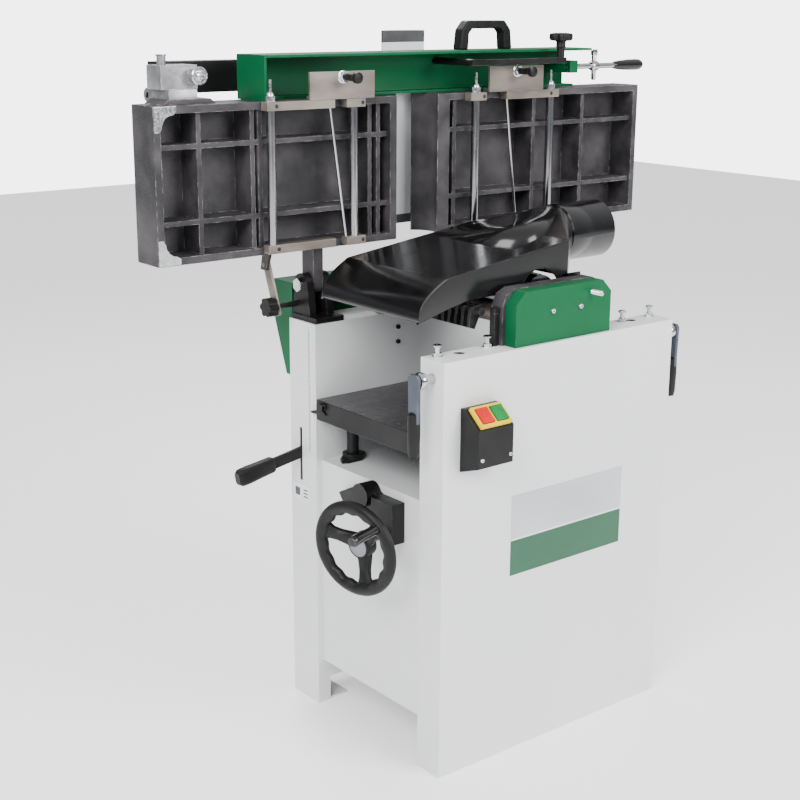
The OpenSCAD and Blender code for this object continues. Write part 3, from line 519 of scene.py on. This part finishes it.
def hoodRing(shape, station, steps=16):
    # closed section with four rounded corners, from the near bottom corner up and over
    x, low, high, near, far, corner = station
    corners = [(near + corner, low + corner, 270), (near + corner, high - corner, 180),
               (far - corner, high - corner, 90), (far - corner, low + corner, 0)]
    ring = []
    for y, z, start in corners:
        for i in range(steps):
            a = math.radians(start - 90 * i / (steps - 1))
            ring.append(shape.verts.new((x, y + corner * math.cos(a), z + corner * math.sin(a))))
    return ring


def hoodStations():
    near, far, crease = hood["near"], hood["far"], hood["crease"]
    stations = []
    for i in range(hood["lipSteps"] + 1):
        t = i / hood["lipSteps"]
        weights = ((1 - t) ** 3, 3 * t * (1 - t) ** 2, 3 * t * t * (1 - t), t ** 3)
        x, high = (sum(w * p[k] for w, p in zip(weights, hood["lip"])) for k in (0, 1))
        low = alongLine(hood["under"], x)
        stations.append((x, low, high, near, far, min(crease, (high - low) / 2.2)))
    top = (hood["lip"][-1], hood["topEnd"])
    for x, low in hood["under"][1:]:
        stations.append((x, low, alongLine(top, x), near, far, crease))
    box = stations[-1]
    y, z = hood["pipeCentre"]
    r = hood["pipeRadius"] - hood["mouthInset"]
    mouth = (hood["pipeStart"], z - r, z + r, y - r, y + r, r)
    for share in (0.25, 0.5, 0.75, 1.0):
        stations.append(tuple(a + (b - a) * share for a, b in zip(box, mouth)))
    r = hood["pipeRadius"]
    for x in (hood["pipeStart"] + 0.0004, hood["pipeEnd"]):
        stations.append((x, z - r, z + r, y - r, y + r, r - 1e-5))
    return stations


def thicken(piece, wall):
    walls = piece.modifiers.new("walls", "SOLIDIFY")
    walls.thickness = wall
    walls.offset = -1
    walls.use_even_offset = True


def makeHoodShell():
    shape = bmesh.new()
    stations = hoodStations()
    rings = [hoodRing(shape, s) for s in stations]
    for station, low, high in zip(stations, rings, rings[1:]):
        isOpenBelow = station[0] < hood["topEnd"][0] - 0.001
        joinRings(shape, low, high, not isOpenBelow)
    shell = addPiece("hoodShell", shape, finishes["black_gloss"], "hood", smooth=9)
    thicken(shell, hood["wall"])
    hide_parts("dust_hood")


def makeHoodSwell():
    swell = bmesh.new()
    nearInset, farInset = hood["swellInset"]
    for y in (hood["near"] + nearInset, hood["far"] - farInset):
        for z in hood["swellZ"]:
            swell.verts.new((hood["swellX"], y, z))
    y, z = hood["pipeCentre"]
    r = hood["pipeRadius"] - hood["mouthInset"]
    for i in range(hood["swellSteps"]):
        a = 2 * math.pi * i / hood["swellSteps"]
        swell.verts.new((hood["pipeStart"], y + r * math.cos(a), z + r * math.sin(a)))
    bmesh.ops.convex_hull(swell, input=swell.verts)
    swell.normal_update()
    # only the upward faces are kept
    spare = [f for f in swell.faces if f.normal.z < 0.05 or abs(f.normal.x) > 0.97]
    bmesh.ops.delete(swell, geom=spare, context="FACES")
    piece = addPiece("hoodSwell", swell, finishes["black_gloss"], "hood", smooth=12)
    thicken(piece, hood["swellWall"])


def makeHoodEars():
    ears = bmesh.new()
    x0, x1 = hood["earX"]
    z0, z1 = hood["earZ"]
    pinX, pinZ = hood["pinPlace"]
    for y, s in ((hood["near"], -1), (hood["far"], 1)):
        inner = y - s * hood["earWall"]
        addBlock(ears, (x0, min(y, inner), z0), (x1, max(y, inner), z1))
        addLathe(ears, hood["pin"], (pinX, y, pinZ), (0, s, 0), 24)
    addPiece("hoodEars", ears, finishes["black_gloss"], "hood")


makeHoodShell()
makeHoodSwell()
makeHoodEars()
print("hood formed")


# handwheel

wheel = {
    "radius": 0.080,
    "rim": 0.0098,
    "rimPlace": 0.010,
    "around": 120,
    "across": 20,
    "waves": 15,
    "waveHeight": 0.0016,
    "spokeAngles": (14, 134, 254),
    # reach, half width, front and back of a spoke from the hub out
    "spoke": [(0.012, 0.013, 0.001, -0.015), (0.024, 0.011, 0.002, -0.011), (0.040, 0.0095, 0.007, -0.004),
              (0.052, 0.0105, 0.011, 0.001), (0.064, 0.016, 0.014, 0.004)],
    "spokeEase": 0.003,
    "hub": 0.021,
    "hubBack": -0.020,
    "cap": [(0.0165, 0.0022), (0.0165, 0.0040), (0.0155, 0.0048), (0.004, 0.0051)],
    "handleAngle": 134,
    "handleRadius": 0.070,
    "handleLift": 0.022,
    "handle": [(0.0072, -0.0015), (0.0088, 0.0), (0.0078, 0.010), (0.0082, 0.030), (0.0089, 0.046),
               (0.0086, 0.0525), (0.0070, 0.0550), (0.002, 0.0555)],
}


def wheelPlace():
    joint = next(j for j in frame["record"]["behaviour"]["joints"] if j["name"] == "handwheel_turn")
    axis = Vector(joint["axis"])
    yaw = math.atan2(-axis.y, -axis.x)
    dip = math.asin(-axis.z)
    turn = Matrix.Rotation(math.pi + yaw, 4, "Z") @ Matrix.Rotation(math.pi / 2 + dip, 4, "Y")
    return Matrix.Translation(joint["pos_m"]) @ turn


def addRim(shape):
    # the inner side is fuller and waves under the fingers
    ringRadius = wheel["radius"] - wheel["rim"]
    rings = []
    for i in range(wheel["around"]):
        a = 2 * math.pi * i / wheel["around"]
        ring = []
        for k in range(wheel["across"]):
            b = 2 * math.pi * k / wheel["across"]
            inward = max(0.0, -math.cos(b))
            wave = wheel["waveHeight"] * inward * math.cos(wheel["waves"] * a)
            radius = ringRadius + wheel["rim"] * math.cos(b) * (1.25 if math.cos(b) < 0 else 1) + wave
            height = wheel["rimPlace"] + wheel["rim"] * 0.9 * math.sin(b)
            ring.append(shape.verts.new(Vector((radius * math.cos(a), radius * math.sin(a), height))))
        rings.append(ring)
    for i, ring in enumerate(rings):
        joinRings(shape, ring, rings[(i + 1) % len(rings)])


def addSpoke(shape, degrees):
    a = math.radians(degrees)
    out = Vector((math.cos(a), math.sin(a), 0))
    side = Vector((-math.sin(a), math.cos(a), 0))
    ease = wheel["spokeEase"]
    rings = []
    for reach, half, front, rear in wheel["spoke"]:
        corners = [(-half, rear), (-half, front - ease), (-half * 0.6, front), (half * 0.6, front),
                   (half, front - ease), (half, rear)]
        rings.append([shape.verts.new(out * reach + side * w + up * h) for w, h in corners])
    loft(shape, rings)


def makeHandwheel():
    turn = wheelPlace()
    shape = bmesh.new()
    addRim(shape)
    for degrees in wheel["spokeAngles"]:
        addSpoke(shape, degrees)
    hub, back = wheel["hub"], wheel["hubBack"]
    addLathe(shape, [(hub - 0.002, back), (hub, back + 0.002), (hub, 0.001), (hub - 0.0015, 0.0034),
                     (0.0165, 0.0036)], (0, 0, 0), up)
    shape.transform(turn)
    rim = addPiece("wheelRim", shape, finishes["black_plastic"], "wheel", smooth=35)
    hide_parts("handwheel")
    cap = bmesh.new()
    addLathe(cap, wheel["cap"], (0, 0, 0), up)
    cap.transform(turn)
    addPiece("wheelCap", cap, hubCapGrey, "wheel")
    grip = bmesh.new()
    a = math.radians(wheel["handleAngle"])
    centre = Vector((math.cos(a), math.sin(a), 0)) * wheel["handleRadius"] + up * wheel["handleLift"]
    addLathe(grip, wheel["handle"], centre, up)
    grip.transform(turn)
    handle = addPiece("crankGrip", grip, finishes["black_gloss"], "crank")
    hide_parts("crank_handle")


makeHandwheel()
print("handwheel turned")


# fasteners

def acornNut(shape, place, axis, size=0.0085):
    addLathe(shape, [(size, 0), (size, size * 0.9)], place, axis, steps=6)
    top = Vector(place) + Vector(axis).normalized() * size * 0.9
    dome = [(size * 0.82 * math.cos(a), size * 0.9 * math.sin(a)) for a in (0, 0.4, 0.8, 1.15, 1.45)]
    addLathe(shape, dome, top, axis, steps=20)


def socketScrew(shape, place, axis, radius=0.0045):
    addLathe(shape, [(radius, -0.001), (radius, radius * 0.8), (radius * 0.86, radius),
                     (radius * 0.55, radius), (radius * 0.55, radius * 0.4)], place, axis, steps=18)


def washer(shape, place, axis, radius=0.008):
    addLathe(shape, [(radius, 0), (radius, 0.0012), (radius * 0.93, 0.0016)], place, axis, steps=24)


castHeight = 0.243
tableLow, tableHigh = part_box("infeed_table")
castLow = tableHigh.z - castHeight
barLow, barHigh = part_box("guide_bars")
barY = (barLow.y + barHigh.y) / 2

studs = {
    "x": (-0.328, -0.165, 0.104, 0.286),
    "washer": 0.011,
    "nut": 0.0085,
    "nutLift": 0.0015,
    "thread": [(0.0028, 0), (0.0028, 0.019), (0.002, 0.020)],
    "threadLift": 0.014,
    # the hole entries place thin black discs whose black is the painted shade of the bracket bolt holes
    "holeX": (-0.322, -0.152, 0.116, 0.280),
    "holeUp": 0.010,
    "holeDown": 0.007,
    "hole": [(0.0034, 0), (0.0034, 0.0004), (0.0026, 0.0005)],
}


def makeStuds():
    shape = bmesh.new()
    top = tableHigh.z
    for x in studs["x"]:
        washer(shape, (x, barY, top), up, studs["washer"])
        acornNut(shape, (x, barY, top + studs["nutLift"]), up, studs["nut"])
        addLathe(shape, studs["thread"], (x, barY, top + studs["threadLift"]), up, 16)
    addPiece("barNuts", shape, finishes["zinc"], "tables", smooth=30)
    # painted shade: the bolt holes are not cut; black discs just proud of the bracket face stand for the
    # shade inside them
    holeShadeDiscs = bmesh.new()
    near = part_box("bar_brackets")[0].y + 0.0002
    for z in (castLow + studs["holeUp"], top - studs["holeDown"]):
        for x in studs["holeX"]:
            addLathe(holeShadeDiscs, studs["hole"], (x, near, z), (0, -1, 0), 16)
    addPiece("bracketHoleShade", holeShadeDiscs, finishes["belt_rubber"], "tables")


screws = {
    "restX": (-0.236, -0.134, 0.172, 0.240),
    "restY": -0.163,
    "restWasher": [(0.0085, 0.0), (0.0085, 0.0012), (0.0060, 0.0014)],
    "restNut": [(0.0068, 0.0012), (0.0068, 0.006)],
    "restHead": [(0.0036, 0.006), (0.0036, 0.015), (0.0062, 0.0155), (0.0072, 0.018), (0.004, 0.0195)],
    "innerX": -0.080,
    "innerY": 0.1275,
    "innerDrops": (0.052, 0.026),
    "innerRadius": 0.004,
    "switchInset": 0.007,
    "switchRise": 0.028,
    "switchRadius": 0.0032,
    "coverX": (-0.028, 0.034),
    "coverZ": 0.742,
    "coverRadius": 0.0042,
    "studX": 0.062,
    "studZ": 0.762,
    "studRadius": 0.0042,
    "threadDepth": 0.0006,
    "pitch": 0.0016,
    "threadSteps": 28,
}
latch = {"reach": 0.012, "near": -0.1675, "far": -0.1555, "leg": 0.008, "bend": 0.052, "top": 0.060}
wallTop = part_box("near_wall")[1].z
toFront = (0, -1, 0)


def makeRestScrews():
    shape = bmesh.new()
    for x in screws["restX"]:
        place = (x, screws["restY"], wallTop)
        addLathe(shape, screws["restWasher"], place, up, 24)
        addLathe(shape, screws["restNut"], place, up, 6)
        addLathe(shape, screws["restHead"], place, up, 24)
    rests = addPiece("restScrews", shape, finishes["zinc"], "stand", smooth=30)
    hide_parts("fittings")
    inner = bmesh.new()
    for drop in screws["innerDrops"]:
        place = (screws["innerX"], screws["innerY"], wallTop - drop)
        socketScrew(inner, place, toFront, screws["innerRadius"])
    addPiece("innerScrews", inner, finishes["black_paint"], "stand")


def makeLatch():
    shape = bmesh.new()
    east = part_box("bearing_housings")[0].x
    west = east - latch["reach"]
    near, far = latch["near"], latch["far"]
    bend = wallTop + latch["bend"]
    addBlock(shape, (west, near, bend), (east, far, wallTop + latch["top"]))
    addBlock(shape, (west, near, wallTop), (west + latch["leg"], far, bend))
    addPiece("hoodLatch", shape, finishes["black_paint"], "stand", bevel=0.001)


def makeSmallScrews():
    boxLow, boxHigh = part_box("switch_box")
    corners = bmesh.new()
    for x in (boxLow.x + screws["switchInset"], boxHigh.x - screws["switchInset"]):
        place = (x, boxLow.y, boxLow.z + screws["switchRise"])
        socketScrew(corners, place, toFront, screws["switchRadius"])
    addPiece("switchScrews", corners, finishes["zinc"], "stand")
    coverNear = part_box("pulley_cover")[0].y
    coverScrews = bmesh.new()
    for x in screws["coverX"]:
        socketScrew(coverScrews, (x, coverNear, screws["coverZ"]), toFront, screws["coverRadius"])
    addPiece("coverScrews", coverScrews, finishes["zinc"], "stand")
    stud = bmesh.new()
    radius, depth, pitch = screws["studRadius"], screws["threadDepth"], screws["pitch"]
    threads = [(radius - depth * (i % 2), i * pitch / 2) for i in range(screws["threadSteps"])]
    addLathe(stud, threads, (screws["studX"], coverNear, screws["studZ"]), toFront, 20)
    addPiece("coverStud", stud, finishes["zinc"], "stand", smooth=60)


makeStuds()
makeRestScrews()
makeLatch()
makeSmallScrews()
print("fasteners placed")


# clamp bolts and lever grips

clampBolt = {
    "x": (-0.193, 0.193),
    "face": 0.044,
    "knob": [(0.0048, 0), (0.0052, 0.004), (0.0060, 0.020), (0.0056, 0.030), (0.0088, 0.034),
             (0.0094, 0.038), (0.0088, 0.042), (0.005, 0.0438)],
    "nut": [(0.0092, 0), (0.0092, 0.006), (0.0075, 0.0072)],
    "washer": 0.0105,
}


def makeClampBolts():
    shape = bmesh.new()
    nuts = bmesh.new()
    low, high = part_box("clamp_bolts")
    z = (low.z + high.z) / 2
    face = low.y + clampBolt["face"]
    for x in clampBolt["x"]:
        addLathe(shape, clampBolt["knob"], (x, face, z), toFront, 28)
        addLathe(nuts, clampBolt["nut"], (x, face, z), toFront, 6)
        washer(nuts, (x, face + 0.001, z), toFront, clampBolt["washer"])
    bolts = addPiece("clampKnobs", shape, finishes["black_plastic"], "tables")
    addPiece("clampNuts", nuts, finishes["zinc"], "tables", smooth=30)
    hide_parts("clamp_bolts")


lock = {
    "y": -0.175,
    "z": 0.663,
    "arm": 0.288,
    "thick": 0.006,
    # outline of the flat arm about the shaft, as y and z
    "outline": [(-0.012, 0.006), (-0.008, 0.012), (0.008, 0.012), (0.012, 0.006), (0.010, -0.064),
                (-0.010, -0.064)],
    "shaft": [(0.008, -0.100), (0.008, 0.002)],
    "collar": [(0.0125, 0.0055), (0.0135, 0.007), (0.0135, 0.016), (0.012, 0.018)],
    "collarBack": 0.021,
    "gripOut": 0.003,
    "gripDrop": 0.047,
    "grip": [(0.006, 0), (0.0098, 0.003), (0.0102, 0.030), (0.0092, 0.062), (0.0075, 0.070),
             (0.003, 0.0715)],
}


def makeLockLever(name, sign, body, node):
    arm = bmesh.new()
    x = sign * lock["arm"]
    y, z = lock["y"], lock["z"]
    outer = x + sign * lock["thick"]
    outline = [(y + dy, z + dz) for dy, dz in lock["outline"]]
    addSlab(arm, outline, min(x, outer), max(x, outer), "yz")
    addPiece(name + "Arm", arm, leverPaintedSheen, body, bevel=0.001)
    hub = bmesh.new()
    addLathe(hub, lock["shaft"], (x, y, z), (sign, 0, 0), 28)
    addLathe(hub, lock["collar"], (x - sign * lock["collarBack"], y, z), (sign, 0, 0), 28)
    hubPiece = addPiece(name + "Hub", hub, finishes["bright_steel"], body)
    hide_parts(node)
    grip = bmesh.new()
    top = (x + sign * lock["gripOut"], y, z - lock["gripDrop"])
    addLathe(grip, lock["grip"], top, (0, 0, -1), 28)
    addPiece(name + "Grip", grip, finishes["black_plastic"], body)


clutch = {
    "pivot": (-0.190, 0.173, 0.472),
    "dip": 10,
    "start": 0.126,
    # distance along the lever, half width, half height
    "sections": [(0.0, 0.0075, 0.0115), (0.004, 0.0095, 0.0135), (0.030, 0.0100, 0.0140),
                 (0.052, 0.0105, 0.0150), (0.068, 0.0100, 0.0145), (0.0735, 0.0075, 0.0105)],
    "steps": 24,
}


def makeClutchGrip():
    shape = bmesh.new()
    dip = math.radians(clutch["dip"])
    axis = Vector((-math.cos(dip), 0, -math.sin(dip)))
    start = Vector(clutch["pivot"]) + axis * clutch["start"]
    side = Vector((0, 1, 0))
    rise = axis.cross(side)
    rings = []
    for reach, wide, tall in clutch["sections"]:
        ring = []
        for i in range(clutch["steps"]):
            a = 2 * math.pi * i / clutch["steps"]
            c, s = math.cos(a), math.sin(a)
            k = (abs(c) ** 4 + abs(s) ** 4) ** -0.25  # between a circle and a square
            ring.append(shape.verts.new(start + axis * reach + side * wide * c * k + rise * tall * s * k))
        rings.append(ring)
    loft(shape, rings)
    grip = addPiece("clutchSleeve", shape, finishes["black_plastic"], "clutch")
    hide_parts("clutch_grip")


makeClampBolts()
makeLockLever("frontLock", -1, "front_lock", "front_lock_lever")
makeLockLever("rearLock", 1, "rear_lock", "rear_lock_lever")
makeClutchGrip()
print("levers and bolts made")


# knobs

guardKnob = {
    "radius": 0.021,
    "height": 0.014,
    "lobes": 8,
    "steps": 72,
    # share of the radius and of the height
    "profile": [(0.62, 0.0), (0.94, 0.10), (1.0, 0.30), (1.0, 0.72), (0.93, 0.92), (0.62, 1.0)],
    "neck": [(0.010, 0), (0.0085, 0.002), (0.0085, 0.010), (0.011, 0.0122)],
}


def makeGuardKnob():
    low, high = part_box("guard_knob")
    x, y = (low.x + high.x) / 2, (low.y + high.y) / 2
    radius, height = guardKnob["radius"], guardKnob["height"]
    turn = Matrix.Translation((x, y, high.z - height)) @ alongAxis(up)
    shape = bmesh.new()
    rings = []
    for share, rise in guardKnob["profile"]:
        ring = []
        for i in range(guardKnob["steps"]):
            a = 2 * math.pi * i / guardKnob["steps"]
            r = radius * share * (0.90 + 0.10 * math.cos(guardKnob["lobes"] * a))
            ring.append(shape.verts.new(turn @ Vector((r * math.cos(a), r * math.sin(a), height * rise))))
        rings.append(ring)
    loft(shape, rings)
    head = addPiece("guardKnobHead", shape, finishes["black_plastic"], "guard_knob")
    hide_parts("guard_knob")
    neck = bmesh.new()
    addLathe(neck, guardKnob["neck"], (x, y, low.z), up, 28)
    addPiece("guardKnobNeck", neck, finishes["black_plastic"], "guard_knob")


spindle = {
    "rise": 0.026,
    "rod": 0.005,
    "rodShort": 0.078,
    "cross": 0.067,
    "crossRod": [(0.003, 0), (0.0045, 0.002), (0.0045, 0.054), (0.003, 0.056)],
    "crossEnd": [(0.0058, 0), (0.0064, 0.002), (0.0064, 0.009), (0.005, 0.0105)],
    "crossEndLift": 0.0195,
    "boss": [(0.007, 0), (0.0085, 0.002), (0.0085, 0.016), (0.007, 0.018)],
    "bossBack": 0.009,
    "gripBack": 0.0785,
    "grip": [(0.0055, 0), (0.0072, 0.006), (0.0086, 0.018), (0.0100, 0.040), (0.0104, 0.062),
             (0.0096, 0.072), (0.0070, 0.077), (0.002, 0.078)],
}


def makeGuardSpindle():
    low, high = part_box("guard_clamp")
    along = (1, 0, 0)
    y = (low.y + high.y) / 2
    z = low.z + spindle["rise"]
    crossX = low.x + spindle["cross"]
    rod = [(spindle["rod"], 0), (spindle["rod"], high.x - spindle["rodShort"] - low.x)]
    steel = bmesh.new()
    addLathe(steel, rod, (low.x, y, z), along, 28)
    addLathe(steel, spindle["crossRod"], (crossX, y, z - spindle["rise"]), up, 24)
    addLathe(steel, spindle["crossEnd"], (crossX, y, z + spindle["crossEndLift"]), up, 24)
    addLathe(steel, spindle["boss"], (crossX - spindle["bossBack"], y, z), along, 24)
    piece = addPiece("guardSpindle", steel, finishes["bright_steel"], "guard_clamp")
    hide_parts("guard_clamp")
    grip = bmesh.new()
    addLathe(grip, spindle["grip"], (high.x - spindle["gripBack"], y, z), along, 28)
    addPiece("guardGrip", grip, finishes["black_gloss"], "guard_clamp")


makeGuardKnob()
makeGuardSpindle()


# guard cap

guardCap = {
    "grow": 1.012,
    "shoulder": 0.023,
    "shoulderDrop": 0.004,
    "foot": 0.006,
    "inset": 0.0002,
    "proud": 0.0004,
    "topDepth": 0.020,
    "lowDepth": 0.016,
}


def makeGuardCap():
    low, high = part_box("bridge_guard")
    shape = bmesh.new()
    west, east = low.x + guardCap["inset"], high.x - guardCap["inset"]
    shoulderY = high.y - guardCap["shoulderDrop"]
    footY = low.y + guardCap["foot"]
    middle = (low.x + high.x) / 2
    outline = [(west, low.y), (east, low.y), (east, footY), (high.x - guardCap["shoulder"], shoulderY),
               (middle, high.y - guardCap["inset"]), (low.x + guardCap["shoulder"], shoulderY), (west, footY)]
    centre = Vector((middle, (low.y + high.y) / 2))
    grown = [centre + (Vector(p) - centre) * guardCap["grow"] for p in outline]
    addSlab(shape, grown, high.z - guardCap["topDepth"], high.z + guardCap["proud"], "xy")
    addSlab(shape, grown, low.z - guardCap["proud"], low.z + guardCap["lowDepth"], "xy")
    addPiece("guardCaps", shape, guardCapGrey, "guard", bevel=0.0008)


makeGuardCap()
print("guard finished")


# labels and scale

label = {
    "near": -0.2035,
    "west": -0.110,
    "east": 0.145,
    "low": 0.315,
    "high": 0.451,
    "split": 0.378,
    "rule": 0.003,
    "thick": 0.001,
}
ruler = {
    "near": 0.134,
    "far": 0.146,
    "low": 0.468,
    "high": 0.686,
    "firstTick": 0.472,
    "ticks": 105,
    "step": 0.002,
    "longTick": 0.008,
    "shortTick": 0.0045,
    "tickHalf": 0.0002,
    "proud": 0.0001,
    "deep": 0.0005,
}
sign = {
    "near": 0.1475,
    "far": 0.1955,
    "low": 0.372,
    "high": 0.402,
    # y, z, width and height of each plain mark
    "marks": ((0.1535, 0.380, 0.012, 0.0025), (0.1535, 0.386, 0.012, 0.0025),
              (0.1535, 0.392, 0.012, 0.0025), (0.176, 0.380, 0.014, 0.0145)),
}


def makeFrontLabel():
    y, west, east, split = label["near"], label["west"], label["east"], label["split"]
    back = y + label["thick"]
    under = split - label["rule"]
    panel = bmesh.new()
    addBlock(panel, (west, y, split), (east, back, label["high"]))
    face = addPiece("labelPanel", panel, finishes["label"], "stand", bevel=0.0002)
    band = bmesh.new()
    addBlock(band, (west, y, label["low"]), (east, back, under))
    addPiece("labelBand", band, labelGreen, "stand", bevel=0.0002)
    border = bmesh.new()
    addBlock(border, (west, y + 0.0001, under), (east, back, split))
    addPiece("labelRule", border, labelWhite, "stand")
    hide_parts("labels")


def makeRuler():
    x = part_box("labels")[0].x
    far, low, high = ruler["far"], ruler["low"], ruler["high"]
    half = ruler["tickHalf"]
    scale = bmesh.new()
    addBlock(scale, (x, ruler["near"], low), (x + label["thick"], far, high))
    addPiece("heightScale", scale, labelWhite, "stand")
    ticks = bmesh.new()
    outer, inner = x - ruler["proud"], x + ruler["deep"]
    for i in range(ruler["ticks"]):
        z = ruler["firstTick"] + i * ruler["step"]
        reach = ruler["longTick"] if i % 5 == 0 else ruler["shortTick"]
        addBlock(ticks, (outer, far - reach, z - half), (inner, far, z + half))
    addBlock(ticks, (outer, far - 0.0005, low), (inner, far + 0.0002, high))
    addPiece("scaleTicks", ticks, labelInk, "stand")


def makeFeedSign():
    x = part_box("labels")[0].x
    plate = bmesh.new()
    addBlock(plate, (x, sign["near"], sign["low"]), (x + label["thick"], sign["far"], sign["high"]))
    addPiece("feedSign", plate, labelWhite, "stand")
    marks = bmesh.new()
    for y, z, wide, tall in sign["marks"]:
        addBlock(marks, (x - ruler["proud"], y, z), (x + ruler["deep"], y + wide, z + tall))
    addPiece("feedMarks", marks, labelInk, "stand")


makeFrontLabel()
makeRuler()
makeFeedSign()
print("labels laid")


# table details

pads = {
    "size": 0.040,
    "arm": 0.010,
    "bend": 0.034,
    "curve": 0.020,
    "edge": 0.0008,
    "proud": 0.0006,
    "deep": 0.006,
}


def makeCorners():
    # bright machined pads on the outer corners of the infeed casting
    shape = bmesh.new()
    x = tableLow.x
    near = tableLow.y
    edge, size, arm = pads["edge"], pads["size"], pads["arm"]
    bend, curve = pads["bend"], pads["curve"]
    for z, s in ((castLow, 1), (tableHigh.z, -1)):
        outline = [(x + edge, z + s * edge), (x + size, z + s * edge), (x + size, z + s * arm)]
        for a in (0, 0.4, 0.8, 1.2, 1.57):
            outline.append((x + bend - curve * math.sin(a), z + s * (bend - curve * math.cos(a))))
        outline += [(x + arm, z + s * size), (x + edge, z + s * size)]
        addSlab(shape, outline, near - pads["proud"], near + pads["deep"])
    addPiece("cornerPads", shape, finishes["zinc"], "tables", bevel=0.0006)


makeCorners()


clampNut = {
    "x": -0.446,
    "rise": 0.042,
    "nut": [(0.0135, -0.001), (0.0140, 0.001), (0.0140, 0.003), (0.0128, 0.004), (0.0078, 0.004),
            (0.0074, 0.009), (0.0062, 0.0102), (0.0036, 0.0102), (0.0036, 0.006)],
    "screwX": -0.492,
    "screwIn": 0.040,
    "screwHead": [(0.0085, 0), (0.0085, 0.0018)],
}


def makeClampNut():
    # round nut with a socket on the clamp's near face, and a flat head on the tilt screw
    low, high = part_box("fence_clamp")
    nut = bmesh.new()
    z = tableHigh.z + clampNut["rise"]
    addLathe(nut, clampNut["nut"], (clampNut["x"], low.y, z), toFront, 28)
    head = (clampNut["screwX"], tableLow.y + clampNut["screwIn"], high.z)
    addLathe(nut, clampNut["screwHead"], head, up, 24)
    addPiece("clampNut", nut, finishes["zinc"], "tables", smooth=30)


makeClampNut()
print("table details added")
